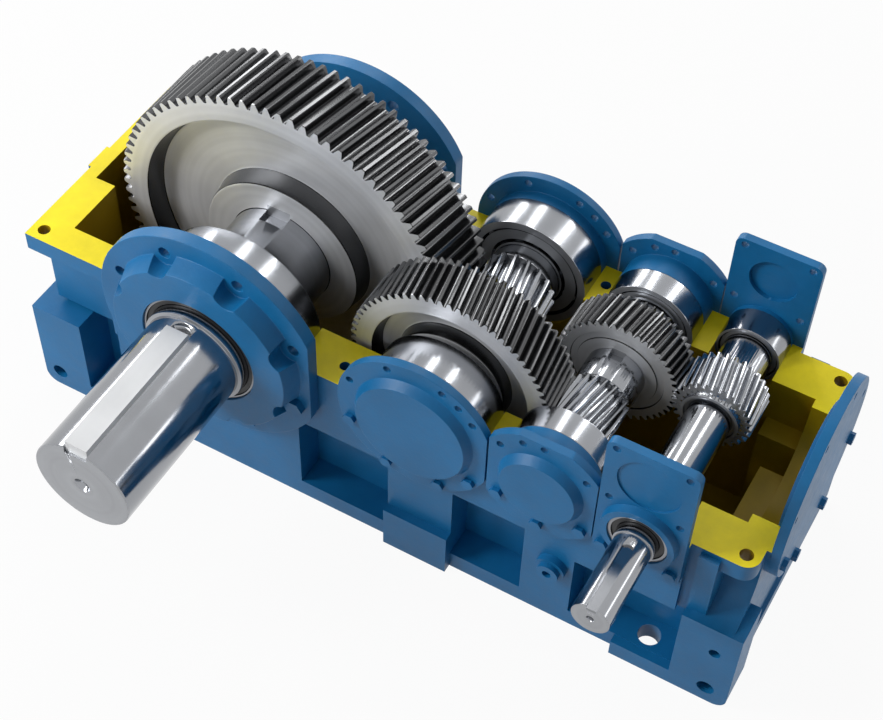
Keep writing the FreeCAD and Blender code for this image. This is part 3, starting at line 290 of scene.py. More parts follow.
def addBump(tree, shader, height, distance, strength):
    bump = tree.nodes.new("ShaderNodeBump")
    bump.inputs["Distance"].default_value = distance
    bump.inputs["Strength"].default_value = strength
    tree.links.new(height, bump.inputs["Height"])
    tree.links.new(bump.outputs[0], shader.inputs["Normal"])


def paintMaterial(name, masked):
    material, tree, shader, place = newMaterial(name)
    colour = paint["blue"]
    if masked:
        hollow = placeGroup(tree, boxMask, Vector=place,
                            Low=(paint["insideLow"], -paint["insideY"], paint["floorLow"]),
                            High=(paint["insideHigh"], paint["insideY"], 1.0))
        pocket = placeGroup(tree, boxMask, Vector=place,
                            Low=(paint["pocketLow"], -paint["pocketHalf"],
                                 paint["floorLow"]),
                            High=(0.0, paint["pocketHalf"], 1.0))
        beyond = paint["beyond"]
        top = placeGroup(tree, boxMask, Vector=place,
                         Low=(-beyond, -beyond, paint["splitLow"]), High=(beyond, beyond, 1.0))
        mirrored = tree.nodes.new("ShaderNodeVectorMath")
        mirrored.operation = "ABSOLUTE"
        tree.links.new(place, mirrored.inputs[0])
        holes = placeGroup(tree, boxMask, Vector=mirrored.outputs[0], Low=paint["holeLow"],
                           High=paint["holeHigh"])
        # yellow paint inside, made darker there as painted shade; the split face above stays the
        # full yellow
        inside = mathNode(tree, "MAXIMUM", hollow.outputs[0], pocket.outputs[0])
        inside = mathNode(tree, "MAXIMUM", inside, holes.outputs[0])
        colour = mixColour(tree, inside, paint["blue"], paint["yellowInsidePaintedShade"])
        colour = mixColour(tree, top.outputs[0], colour, paint["yellow"])
    skin = placeGroup(tree, paintSkin, Vector=place, Color=colour,
                      Peel_Scale=paint["peel"],
                      Cast_Scale=paint["cast"], Roughness=paint["rough"])
    tree.links.new(skin.outputs["Color"], shader.inputs["Base Color"])
    tree.links.new(skin.outputs["Roughness"], shader.inputs["Roughness"])
    shader.inputs["Specular IOR Level"].default_value = paint["gloss"]
    addBump(tree, shader, skin.outputs["Height"], paint["bump"], paint["bumpStrength"])
    return material


def steelMaterial(name, finish, line):
    # marks turn round the shaft's own axis
    v = steel[finish]
    material, tree, shader, place = newMaterial(name)
    centred = tree.nodes.new("ShaderNodeMapping")
    centred.inputs["Location"].default_value = (-lines[line], 0, -axisZ)
    tree.links.new(place, centred.inputs["Vector"])
    marks = placeGroup(tree, turningMarks, Vector=centred.outputs[0],
                       Marks=steelMarks["perMetre"], Color=v["colour"], Roughness=v["round"],
                       Face_Roughness=v["face"], Flank_Tone=v["flankPaintedShade"], Metal=v["metal"],
                       Normal=tree.nodes["Texture Coordinate"].outputs["Normal"])
    tree.links.new(marks.outputs["Color"], shader.inputs["Base Color"])
    tree.links.new(marks.outputs["Roughness"], shader.inputs["Roughness"])
    tree.links.new(marks.outputs["Metallic"], shader.inputs["Metallic"])
    addBump(tree, shader, marks.outputs["Height"], v["depth"], steelMarks["bumpStrength"])
    return material


def rubberMaterial():
    material, tree, shader, place = newMaterial("sealRubber")
    skin = placeGroup(tree, paintSkin, Vector=place, Color=rubber["colour"],
                      Peel_Scale=rubber["peel"], Cast_Scale=rubber["cast"],
                      Roughness=rubber["rough"])
    tree.links.new(skin.outputs["Color"], shader.inputs["Base Color"])
    tree.links.new(skin.outputs["Roughness"], shader.inputs["Roughness"])
    addBump(tree, shader, skin.outputs["Height"], rubber["bump"], rubber["bumpStrength"])
    return material


casingPaint = paintMaterial("casingPaint", True)
coverPaint = paintMaterial("coverPaint", False)
sealRubber = rubberMaterial()
shaftSteel = {line: steelMaterial("shaftSteel." + line, "shaft", line) for line in lines}
gearSteel = {line: steelMaterial("gearSteel." + line, "gear", line) for line in lines}
raceSteel = {line: steelMaterial("raceSteel." + line, "race", line) for line in lines}
keySteel = steelMaterial("keySteel", "key", "output")
print("materials ready")


# mesh helpers
meshing = {
    "merge": 1e-6, "smooth": 30, "faceWeight": 90,
    # a round at a corner: the shortest worth making, and its largest part of either side
    "shortest": 1e-5, "longest": 0.4,
    "onAxis": 1e-9, "slotSteps": 16, "cutterSides": 96,
}


def finishPiece(name, bm, body, material, replaced=(), smooth=meshing["smooth"]):
    bmesh.ops.remove_doubles(bm, verts=bm.verts, dist=meshing["merge"])
    bmesh.ops.recalc_face_normals(bm, faces=bm.faces)
    mesh = bpy.data.meshes.new(name)
    bm.to_mesh(mesh)
    bm.free()
    mesh.materials.append(material)
    piece = bpy.data.objects.new(name, mesh)
    scene.collection.objects.link(piece)
    dress(piece, body, replaced, smooth)
    return piece


def shade(piece, smooth):
    # smooth shading led by the large faces, so that flat faces stay flat
    mesh = piece.data
    mesh.polygons.foreach_set("use_smooth", [True] * len(mesh.polygons))
    mesh.set_sharp_from_angle(angle=math.radians(smooth))
    weighted = piece.modifiers.new("largeFaces", "WEIGHTED_NORMAL")
    weighted.mode = "FACE_AREA"
    weighted.weight = meshing["faceWeight"]
    weighted.keep_sharp = True
    applyModifiers(piece)


def dress(piece, body, replaced=(), smooth=meshing["smooth"]):
    shade(piece, smooth)
    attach(piece, body)
    if replaced:
        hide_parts(*replaced)


def ringPoints(bm, points):
    return [bm.verts.new(p) for p in points]


def bridge(bm, first, second):
    count = len(first)
    for index in range(count):
        after = (index + 1) % count
        bm.faces.new((first[index], first[after], second[after], second[index]))


def aroundAxis(x, radius, along, angles):
    return [(x + radius * math.cos(a), along, axisZ + radius * math.sin(a)) for a in angles]


def softened(profile, cut):
    # each inner corner of a (radius, y) profile gets a small two-step round
    out = [profile[0]]
    for index in range(1, len(profile) - 1):
        before, here, after = (Vector(p) for p in profile[index - 1:index + 2])
        toBefore, toAfter = before - here, after - here
        size = min(cut, toBefore.length * meshing["longest"],
                   toAfter.length * meshing["longest"])
        if size < meshing["shortest"]:
            out.append(tuple(here))
            continue
        first = here + toBefore.normalized() * size
        last = here + toAfter.normalized() * size
        middle = (first + last + here * 2) / 4
        out += [tuple(first), tuple(middle), tuple(last)]
    out.append(profile[-1])
    return out


def addTurned(bm, x, profile, angles, closed=False):
    # a turned shape from a (radius, y) profile; ends on the axis unless closed
    rings = []
    for radius, along in profile:
        if radius < meshing["onAxis"]:
            rings.append([bm.verts.new((x, along, axisZ))])
        else:
            rings.append(ringPoints(bm, aroundAxis(x, radius, along, angles)))
    pairs = list(zip(rings, rings[1:]))
    if closed:
        pairs.append((rings[-1], rings[0]))
    count = len(angles)
    for first, second in pairs:
        if len(first) == 1 and len(second) == 1:
            continue
        if len(first) == 1 or len(second) == 1:
            tip, ring = (first[0], second) if len(first) == 1 else (second[0], first)
            for index in range(count):
                bm.faces.new((tip, ring[index], ring[(index + 1) % count]))
        else:
            bridge(bm, first, second)
    return rings


def evenAngles(count):
    return [2 * math.pi * i / count for i in range(count)]


# lengths in modules where no unit is given
toothForm = {"pressure": 20, "addendum": 1, "dedendum": 1.25, "play": 0.25 * mm,
             "rootStart": 0.4, "rootReach": 0.42, "rootLimit": 0.96, "tipRound": 0.04,
             "rootSteps": (0.35, 0.7), "flankSteps": (0.3, 0.6, 0.88), "endEdge": 1.2 * mm}


def toothRound(gear, turn):
    # (radius, angle) points once round a gear, involute flanks and rounded roots
    teeth, module, form = gear["teeth"], gear["module"], toothForm
    pitch = module / gear["cosine"] * teeth / 2
    slope = math.atan(math.tan(math.radians(form["pressure"])) / gear["cosine"])
    base = pitch * math.cos(slope)
    tip = pitch + form["addendum"] * module
    root = pitch - form["dedendum"] * module
    halfPitch = math.pi / (2 * teeth) - form["play"] / pitch

    def halfAt(radius):
        angle = math.acos(min(1, base / radius))
        return halfPitch + math.tan(slope) - slope - (math.tan(angle) - angle)

    low = max(base, root + form["rootStart"] * module)
    corner = (root, halfAt(low))
    floor = (root, min(halfAt(low) + form["rootReach"] * module / root,
                       math.pi / teeth * form["rootLimit"]))
    side = [floor]
    start = (low, halfAt(low))
    for step in form["rootSteps"]:
        weights = ((1 - step) ** 2, 2 * step * (1 - step), step ** 2)
        side.append(tuple(sum(w * p[i] for w, p in zip(weights, (floor, corner, start)))
                          for i in range(2)))
    side.append(start)
    for step in form["flankSteps"]:
        radius = low + (tip - low) * step
        side.append((radius, halfAt(radius)))
    side.append((tip, halfAt(tip) - form["tipRound"] * module / tip))
    points = []
    for number in range(teeth):
        middle = turn + 2 * math.pi * number / teeth
        points += [(r, middle - half) for r, half in side]
        points += [(r, middle + half) for r, half in reversed(side)]
    return points, tip


def toothedPiece(bm, gear, front, back, closed, slices=6):
    # front and back are (radius, y) profiles from the inside out to the teeth
    x, edge = lines[gear["line"]], toothForm["endEdge"]
    low, width = gear["start"], gear["width"]
    pitch = gear["module"] / gear["cosine"] * gear["teeth"] / 2
    twist = gear["hand"] * math.tan(math.acos(gear["cosine"])) / pitch
    stations = [(low, edge), (low + edge, 0)]
    stations += [(low + width * i / slices, 0) for i in range(1, slices)]
    stations += [(low + width - edge, 0), (low + width, edge)]
    rings, ends = [], []
    for along, trim in stations:
        points, tip = toothRound(gear, gear["turn"] - twist * (along - gear["middle"]))
        rings.append([bm.verts.new((x + min(r, tip - trim) * math.cos(a), along,
                                    axisZ + min(r, tip - trim) * math.sin(a)))
                      for r, a in points])
        ends.append([a for r, a in points])
    for first, second in zip(rings, rings[1:]):
        bridge(bm, first, second)
    inner = []
    for profile, angles, outer in ((front, ends[0], rings[0]), (back, ends[-1], rings[-1])):
        made = addTurned(bm, x, profile, angles)
        bridge(bm, made[-1], outer)
        inner.append(made[0])
    if closed:
        bridge(bm, inner[0], inner[1])


def helixCosine(teeth, other, module, centres):
    return (teeth + other) * module / (2 * centres)


def cutWith(piece, smooth, *cutters):
    # exact booleans, applied at once
    for cutter in cutters:
        modifier = piece.modifiers.new("cut", "BOOLEAN")
        modifier.operation = "DIFFERENCE"
        modifier.solver = "EXACT"
        modifier.object = cutter
    applyModifiers(piece)
    shade(piece, smooth)
    for cutter in cutters:
        bpy.data.objects.remove(cutter)


def applyModifiers(piece):
    graph = bpy.context.evaluated_depsgraph_get()
    mesh = bpy.data.meshes.new_from_object(piece.evaluated_get(graph))
    old = piece.data
    piece.modifiers.clear()
    piece.data = mesh
    mesh.name = old.name
    bpy.data.meshes.remove(old)


def meshObject(name, bm):
    bmesh.ops.recalc_face_normals(bm, faces=bm.faces)
    mesh = bpy.data.meshes.new(name)
    bm.to_mesh(mesh)
    bm.free()
    made = bpy.data.objects.new(name, mesh)
    scene.collection.objects.link(made)
    return made


def slotCutter(x, low, high, halfWidth, bottom, top, roundLow=False, roundHigh=True):
    # a key slot seen from above, straight with round ends where asked
    steps = meshing["slotSteps"]
    outline = []
    if roundHigh:
        outline += [(x + halfWidth * math.cos(a), high + halfWidth * math.sin(a))
                    for a in [math.pi * i / steps for i in range(steps + 1)]]
    else:
        outline += [(x + halfWidth, high), (x - halfWidth, high)]
    if roundLow:
        outline += [(x - halfWidth * math.cos(a), low - halfWidth * math.sin(a))
                    for a in [math.pi * i / steps for i in range(steps + 1)]]
    else:
        outline += [(x - halfWidth, low), (x + halfWidth, low)]
    bm = bmesh.new()
    lower = [bm.verts.new((px, py, bottom)) for px, py in outline]
    upper = [bm.verts.new((px, py, top)) for px, py in outline]
    bridge(bm, lower, upper)
    bm.faces.new(lower)
    bm.faces.new(upper)
    return meshObject("slotCutter", bm)


def roundCutter(x, z, radius, low, high):
    bm = bmesh.new()
    place = Matrix.Translation((x, (low + high) / 2, z)) @ Matrix.Rotation(math.pi / 2, 4, "X")
    bmesh.ops.create_cone(bm, cap_ends=True, segments=meshing["cutterSides"],
                          radius1=radius, radius2=radius, depth=high - low, matrix=place)
    return meshObject("roundCutter", bm)


# gears and shafts
gearPairs = {
    "low": {"module": 7 * mm, "teeth": (88, 17), "centres": 373 * mm, "start": -31 * mm,
            "width": 132 * mm},
    "mid": {"module": 5 * mm, "teeth": (69, 18), "centres": 221 * mm, "start": -127 * mm,
            "width": 90 * mm},
    "high": {"module": 4.5 * mm, "teeth": (45, 28), "centres": 166 * mm, "start": 25 * mm,
             "width": 68 * mm},
}


def gearValues(pair, wheel, line, hand, before=0.0, after=0.0):
    stage = gearPairs[pair]
    teeth = stage["teeth"][0 if wheel else 1]
    return {
        "line": line, "teeth": teeth, "module": stage["module"], "hand": hand,
        "cosine": helixCosine(*stage["teeth"], stage["module"], stage["centres"]),
        "start": stage["start"] - before, "width": stage["width"] + before + after,
        "middle": stage["start"] + stage["width"] / 2,
        "turn": 0.0 if wheel else math.pi + math.pi / teeth,
    }


def rootOf(gear):
    return gear["module"] * (gear["teeth"] / gear["cosine"] / 2 - toothForm["dedendum"])


wheels = {
    "outputGearWheel": {"pair": "low", "line": "output", "hand": 1, "bore": 95.05 * mm,
                        "rim": 43 * mm, "hub": 146 * mm, "web": 60 * mm},
    "secondGearWheel": {"pair": "mid", "line": "second", "hand": -1, "bore": 62.05 * mm,
                        "rim": 35 * mm, "hub": 98 * mm, "web": 40 * mm},
    "thirdGearWheel": {"pair": "high", "line": "third", "hand": 1, "bore": 46.05 * mm,
                       "rim": 20 * mm, "hub": 70 * mm, "web": 62 * mm},
}
# the slopes are what the dish depth is divided by at the hub and under the rim
wheelEdges = {"bore": 1.2 * mm, "boreWidth": 1.0 * mm, "hubBack": 0.2 * mm,
              "hubSlope": 8, "rimSlope": 4, "underTeeth": 1.5 * mm, "soft": 3.5 * mm,
              "smooth": 32}


def wheelSides(gear, v):
    # matching dished faces on both sides, from the bore out to under the teeth
    pitch = gear["module"] / gear["cosine"] * gear["teeth"] / 2
    rimR = pitch - v["rim"]
    depth = (gear["width"] - v["web"]) / 2
    bore, hub, edges = v["bore"], v["hub"], wheelEdges
    sides = []
    for face, sign in ((gear["start"], 1), (gear["start"] + gear["width"], -1)):
        floor = face + sign * depth
        top = face + sign * edges["hubBack"]
        profile = [(bore, face + sign * edges["bore"]), (bore + edges["boreWidth"], top),
                   (hub, top), (hub + depth / edges["hubSlope"], floor),
                   (rimR - depth / edges["rimSlope"], floor), (rimR, face),
                   (rootOf(gear) - edges["underTeeth"], face)]
        sides.append(softened(profile, edges["soft"]))
    return sides


def makeWheel(name, v):
    bm = bmesh.new()
    gear = gearValues(v["pair"], True, v["line"], v["hand"])
    front, back = wheelSides(gear, v)
    toothedPiece(bm, gear, front, back, True)
    finishPiece(name, bm, v["line"] + "_line", gearSteel[v["line"]],
                [v["line"] + "_gear"], wheelEdges["smooth"])


for name, values in wheels.items():
    makeWheel(name, values)
print("gear wheels ready")


def stepProfile(steps, start):
    # (radius, y) corners of a stepped shaft from its (radius, end) steps
    out = [(0.0, start)]
    last = start
    for radius, end in steps:
        out += [(radius, last), (radius, end)]
        last = end
    return out


outputShaft = {
    "steps": [(85, -290), (92, -215), (95, 215)],
    "start": -581, "chamfer": 3, "segments": 160,
    # the centre hole, and what part of its radius and depth its inner step has
    "centreR": 14, "centreDepth": 20, "centreStep": (0.55, 0.8),
    "keyHalf": 20, "keyEnd": -317, "keyFloor": 72.02,
    "gearKeyHalf": 22, "gearKeyFrom": -57, "gearKeyTo": 94.9, "gearKeyFloor": 82,
    "cutTop": 120, "cutPast": 5, "smooth": 30,
}


def makeOutputShaft():
    v = outputShaft
    inner, deep = v["centreStep"]
    steps = [(r * mm, y * mm) for r, y in v["steps"]]
    profile = stepProfile(steps, v["start"] * mm)
    profile[0:1] = [(0.0, (v["start"] + v["centreDepth"]) * mm),
                    (v["centreR"] * inner * mm, (v["start"] + v["centreDepth"] * deep) * mm),
                    (v["centreR"] * mm, v["start"] * mm)]
    end = profile[-1][1]
    profile.append((0.0, end))
    bm = bmesh.new()
    addTurned(bm, lines["output"], softened(profile, v["chamfer"] * mm),
              evenAngles(v["segments"]))
    piece = finishPiece("outputShaftTurned", bm, "output_line",
                        shaftSteel["output"], ["output_shaft"], v["smooth"])
    x, top = lines["output"], axisZ + v["cutTop"] * mm
    cutWith(piece, v["smooth"],
            slotCutter(x, (v["start"] - v["cutPast"]) * mm, v["keyEnd"] * mm, v["keyHalf"] * mm,
                       axisZ + v["keyFloor"] * mm, top),
            slotCutter(x, v["gearKeyFrom"] * mm, v["gearKeyTo"] * mm, v["gearKeyHalf"] * mm,
                       axisZ + v["gearKeyFloor"] * mm, top, roundHigh=False))


makeOutputShaft()


pinionShafts = {
    # steps are (radius, end) in mm, from each end in to the teeth; underRoot ends them
    "second": {"pair": "low", "hand": -1, "before": 3 * mm, "after": 11 * mm, "start": -202,
               "front": [(50, -140), (62, -36)], "frontRoot": -34,
               "back": [(50, 140), (62, 112)], "backRoot": 112, "slices": 10},
    "third": {"pair": "mid", "hand": 1, "before": 9 * mm, "after": 3 * mm, "start": -185,
              "front": [(37.5, -140)], "frontRoot": -136,
              "back": [(37.5, 140), (46, 25), (50.4, -34)], "backRoot": None, "slices": 8},
}
shaftEdges = {"underRoot": 0.8, "soft": 1.5 * mm, "inputSoft": 1.6 * mm, "smooth": 32}
thirdGearKey = {"half": 12, "from": 11, "to": 90.9, "floor": 38, "cutTop": 80}


def makePinionShaft(line, v, *cutters):
    gear = gearValues(v["pair"], False, line, v["hand"], v["before"], v["after"])
    under = rootOf(gear) / mm - shaftEdges["underRoot"]
    sides = []
    for word, sign in (("front", 1), ("back", -1)):
        steps = list(v[word])
        if v[word + "Root"] is not None:
            steps.append((under, v[word + "Root"]))
        profile = stepProfile([(r * mm, y * mm) for r, y in steps], sign * v["start"] * mm)
        sides.append(softened(profile, shaftEdges["soft"]))
    bm = bmesh.new()
    toothedPiece(bm, gear, sides[0], sides[1], False, v["slices"])
    piece = finishPiece(line + "PinionShaftTurned", bm, line + "_line",
                        shaftSteel[line], [line + "_pinion_shaft"], shaftEdges["smooth"])
    if cutters:
        cutWith(piece, shaftEdges["smooth"], *cutters)


makePinionShaft("second", pinionShafts["second"])
makePinionShaft("third", pinionShafts["third"],
                slotCutter(lines["third"], thirdGearKey["from"] * mm, thirdGearKey["to"] * mm,
                           thirdGearKey["half"] * mm, axisZ + thirdGearKey["floor"] * mm,
                           axisZ + thirdGearKey["cutTop"] * mm, roundHigh=False,
                           roundLow=True))

inputShaft = {
    "start": -403, "keyHalf": 9, "keyEnd": -286, "keyFloor": 24, "cutTop": 60, "cutPast": 5,
    # (radius, y) corners in mm: the centre hole, the steps and the oil groove at the teeth
    "front": [(0, -394), (4, -395), (6, -403), (31, -403), (31, -262), (34, -262),
              (34, -214), (35, -214), (35, -164), (37.5, -164), (37.5, 18), (43.5, 18),
              (43.5, 12), (49.5, 12), (49.5, 20.8)],
    "back": [(35, 164), (42.5, 95)], "backStart": 214,
    "before": 4 * mm, "after": 2 * mm, "slices": 6,
}


def makeInputShaft():
    v = inputShaft
    gear = gearValues("high", False, "input", -1, v["before"], v["after"])
    front = [(r * mm, y * mm) for r, y in v["front"]]
    back = stepProfile([(r * mm, y * mm) for r, y in v["back"]], v["backStart"] * mm)
    bm = bmesh.new()
    toothedPiece(bm, gear, softened(front, shaftEdges["inputSoft"]),
                 softened(back, shaftEdges["soft"]), False, v["slices"])
    piece = finishPiece("inputPinionShaftTurned", bm, "input_line",
                        shaftSteel["input"], ["input_pinion_shaft"], shaftEdges["smooth"])
    cutWith(piece, shaftEdges["smooth"],
            slotCutter(lines["input"], (v["start"] - v["cutPast"]) * mm, v["keyEnd"] * mm,
                       v["keyHalf"] * mm, axisZ + v["keyFloor"] * mm,
                       axisZ + v["cutTop"] * mm))


makeInputShaft()
print("shafts ready")


# bearings
bearings = {
    "one": {"line": "output", "bore": 95, "outer": 145, "width": 75, "reach": 140,
            "rollers": 18, "body": "output"},
    "two": {"line": "second", "bore": 50, "outer": 107.5, "width": 62, "reach": 140,
            "rollers": 11, "body": "second"},
    "three": {"line": "third", "bore": 37.5, "outer": 80, "width": 45, "reach": 140,
              "rollers": 11, "body": "third"},
    "four": {"line": "input", "bore": 35, "outer": 55, "width": 50, "reach": 164,
             "rollers": 14, "body": "input"},
}

# what the four sizes share, most of it as parts of the section or the width
bearingShape = {"raceShare": 0.25, "boreGap": 0.05 * mm, "rollerGap": 0.4 * mm,
                "rollerShare": 0.7, "rollerEdge": 0.14, "rollerSides": 28, "cageShare": 0.7,
                "cageThick": 0.3, "cageSides": 96, "ringSides": 144, "ringEdge": 1.6 * mm}


def makeRing(name, line, inner, outer, low, width, body, material, replaced):
    profile = [(outer, low), (outer, low + width), (inner, low + width), (inner, low)]
    around = [profile[-1]] + profile + [profile[0]]
    soft = softened(around, bearingShape["ringEdge"])[1:-1]
    bm = bmesh.new()
    addTurned(bm, lines[line], soft, evenAngles(bearingShape["ringSides"]), closed=True)
    return finishPiece(name, bm, body, material, replaced)


def makePointTree():
    # parts set on points, each aimed along the point's own direction
    tree = bpy.data.node_groups.new("partsAtPlaces", "GeometryNodeTree")
    face = tree.interface
    face.new_socket("Geometry", in_out="INPUT", socket_type="NodeSocketGeometry")
    face.new_socket("Part", in_out="INPUT", socket_type="NodeSocketObject")
    face.new_socket("Finish", in_out="INPUT", socket_type="NodeSocketMaterial")
    face.new_socket("Largest Turn", in_out="INPUT", socket_type="NodeSocketFloat")
    face.new_socket("Seed", in_out="INPUT", socket_type="NodeSocketInt")
    face.new_socket("Geometry", in_out="OUTPUT", socket_type="NodeSocketGeometry")
    add, join = tree.nodes.new, tree.links.new
    start, end = add("NodeGroupInput"), add("NodeGroupOutput")
    points = add("GeometryNodeMeshToPoints")
    place = add("GeometryNodeInstanceOnPoints")
    part = add("GeometryNodeObjectInfo")
    aim = add("GeometryNodeInputNamedAttribute")
    aim.data_type = "FLOAT_VECTOR"
    aim.inputs["Name"].default_value = "aim"
    align = add("FunctionNodeAlignRotationToVector")
    align.axis = "Z"
    chance = add("FunctionNodeRandomValue")
    chance.data_type = "FLOAT"
    spin = add("FunctionNodeAxisAngleToRotation")
    turn = add("FunctionNodeRotateRotation")
    turn.rotation_space = "LOCAL"
    realise = add("GeometryNodeRealizeInstances")
    finish = add("GeometryNodeSetMaterial")
    join(start.outputs["Geometry"], points.inputs["Mesh"])
    join(start.outputs["Part"], part.inputs["Object"])
    join(aim.outputs["Attribute"], align.inputs["Vector"])
    lowest = [s for s in chance.inputs if s.name == "Min" and s.type == "VALUE"][0]
    highest = [s for s in chance.inputs if s.name == "Max" and s.type == "VALUE"][0]
    lowest.default_value = 0.0
    join(start.outputs["Largest Turn"], highest)
    join(start.outputs["Seed"], chance.inputs["Seed"])
    value = [s for s in chance.outputs if s.type == "VALUE"][0]
    join(value, spin.inputs["Angle"])
    join(align.outputs["Rotation"], turn.inputs["Rotation"])
    join(spin.outputs["Rotation"], turn.inputs["Rotate By"])
    join(points.outputs["Points"], place.inputs["Points"])
    join(part.outputs["Geometry"], place.inputs["Instance"])
    join(turn.outputs["Rotation"], place.inputs["Rotation"])
    join(place.outputs["Instances"], realise.inputs["Geometry"])
    join(realise.outputs["Geometry"], finish.inputs["Geometry"])
    join(start.outputs["Finish"], finish.inputs["Material"])
    join(finish.outputs["Geometry"], end.inputs["Geometry"])
    return tree


pointTree = makePointTree()
placing = {"largestTurn": 0.0, "seed": 3}


def setParts(name, part, places, body, material):
    # places are (position, direction) pairs
    mesh = bpy.data.meshes.new(name)
    mesh.from_pydata([p for p, d in places], [], [])
    aim = mesh.attributes.new("aim", "FLOAT_VECTOR", "POINT")
    aim.data.foreach_set("vector", [c for p, d in places for c in d])
    piece = bpy.data.objects.new(name, mesh)
    scene.collection.objects.link(piece)
    modifier = piece.modifiers.new("places", "NODES")
    modifier.node_group = pointTree
    keys = {s.name: s.identifier for s in pointTree.interface.items_tree
            if s.item_type == "SOCKET" and s.in_out == "INPUT"}
    modifier[keys["Part"]] = part
    modifier[keys["Finish"]] = material
    modifier[keys["Largest Turn"]] = placing["largestTurn"]
    modifier[keys["Seed"]] = placing["seed"]
    applyModifiers(piece)
    bpy.data.objects.remove(part)
    dress(piece, body)


def makeRoller(radius, length):
    # a crowned roller along its own Z
    bm = bmesh.new()
    rings = []
    edge = radius * bearingShape["rollerEdge"]
    for r, z in ((radius - edge, 0), (radius, edge), (radius, length - edge),
                 (radius - edge, length)):
        rings.append([bm.verts.new((r * math.cos(a), r * math.sin(a), z))
                      for a in evenAngles(bearingShape["rollerSides"])])
    for first, second in zip(rings, rings[1:]):
        bridge(bm, first, second)
    bm.faces.new(rings[0])
    bm.faces.new(rings[-1])
    return meshObject("roller", bm)


def makeBearing(number, v, side):
    word = "front" if side < 0 else "rear"
    prefix = "shaft_%s_%s_" % (number, word)
    bore, outer, width = v["bore"] * mm, v["outer"] * mm, v["width"] * mm
    low = v["reach"] * mm if side > 0 else -(v["reach"] * mm + width)
    shape = bearingShape
    race = (outer - bore) * shape["raceShare"]
    title = number.capitalize() + word.capitalize()
    makeRing("outerRace" + title, v["line"], outer - race, outer, low, width, "casing",
             raceSteel[v["line"]], [prefix + "outer_race"])
    makeRing("innerRace" + title, v["line"], bore + shape["boreGap"], bore + race, low, width,
             v["body"] + "_line", raceSteel[v["line"]],
             [prefix + "inner_race"])
    rollerR = race - shape["rollerGap"]
    pitch = (outer + bore) / 2
    length = width * shape["rollerShare"]
    start = low + (width - length) / 2
    places = []
    for index in range(v["rollers"]):
        a = 2 * math.pi * (index + 0.5) / v["rollers"]
        places.append(((lines[v["line"]] + pitch * math.cos(a), start,
                        axisZ + pitch * math.sin(a)), (0, 1, 0)))
    setParts("rollers" + title, makeRoller(rollerR, length), places, v["body"] + "_rollers",
             raceSteel[v["line"]])
    thick = (width - length) * shape["cageThick"]
    reach = rollerR * shape["cageShare"]
    a, b = pitch - reach, pitch + reach
    bm = bmesh.new()
    for along in (start - thick, start + length):
        ring = [(a, along), (b, along), (b, along + thick), (a, along + thick)]
        addTurned(bm, lines[v["line"]], ring, evenAngles(shape["cageSides"]), closed=True)
    finishPiece("cage" + title, bm, v["body"] + "_rollers",
                raceSteel[v["line"]], [prefix + "roller_set"])


for number, values in bearings.items():
    for side in (-1, 1):
        makeBearing(number, values, side)
print("bearings ready")


# castings: CAD shapes with softened edges
softEdges = {"casing": 3.4 * mm, "cover": 1.6 * mm, "segments": 2, "angle": 34,
             "flat": 0.6, "merge": 2e-6}


def softenedCopy(node, width, material):
    bm = bmesh.new()
    bm.from_mesh(nodes[node].data)
    bmesh.ops.remove_doubles(bm, verts=bm.verts, dist=softEdges["merge"])
    bmesh.ops.dissolve_limit(bm, angle_limit=math.radians(softEdges["flat"]),
                             verts=bm.verts, edges=bm.edges)
    mesh = bpy.data.meshes.new(node)
    bm.to_mesh(mesh)
    bm.free()
    mesh.materials.clear()
    mesh.materials.append(material)
    piece = bpy.data.objects.new(node + ".soft", mesh)
    scene.collection.objects.link(piece)
    bevel = piece.modifiers.new("softEdges", "BEVEL")
    bevel.width = width
    bevel.segments = softEdges["segments"]
    bevel.limit_method = "ANGLE"
    bevel.angle_limit = math.radians(softEdges["angle"])
    bevel.use_clamp_overlap = True
    applyModifiers(piece)
    dress(piece, "casing", [node], softEdges["angle"])
    return piece


softenedCopy("lower_casing", softEdges["casing"], casingPaint)
softenedCopy("end_cover", softEdges["cover"], coverPaint)
for word in ("front", "rear"):
    for number in ("one", "two", "three", "four"):
        cover = softenedCopy("%s_cover_%s" % (word, number), softEdges["cover"], coverPaint)

# the blind recess in the inner side of the rear input cover, which is the last one made
blind = {"rise": 118 * mm, "r": 41 * mm, "deep": 8 * mm, "seat": 221.5 * mm,
         "before": 20 * mm}
cutWith(cover, softEdges["angle"],
        roundCutter(lines["input"], axisZ + blind["rise"], blind["r"],
                    blind["seat"] - blind["before"], blind["seat"] + blind["deep"]))
print("castings ready")

seals = {
    "output": {"lip": 92.4, "case": 101.0, "outer": 105.45, "low": -273.5, "width": 14,
               "lipBack": 2.5, "lipGap": 0.02, "node": "output_shaft_seal"},
    "input": {"lip": 34.4, "case": 43.5, "outer": 49.45, "low": -246, "width": 14,
              "lipBack": 2.5, "lipGap": 0.02, "node": "input_shaft_seal"},
}


def makeSeal(line, v):
    # a pressed steel case with the dark lip inside, set back a little
    low, width, back = v["low"] * mm, v["width"] * mm, v["lipBack"] * mm
    makeRing("sealCase" + line.capitalize(), line, v["case"] * mm, v["outer"] * mm, low, width,
             "casing", raceSteel[line], [v["node"]])
    makeRing("sealLip" + line.capitalize(), line, v["lip"] * mm,
             (v["case"] + v["lipGap"]) * mm, low + back, width - back, "casing",
             sealRubber, [])


for line, values in seals.items():
    makeSeal(line, values)
print("seals ready")

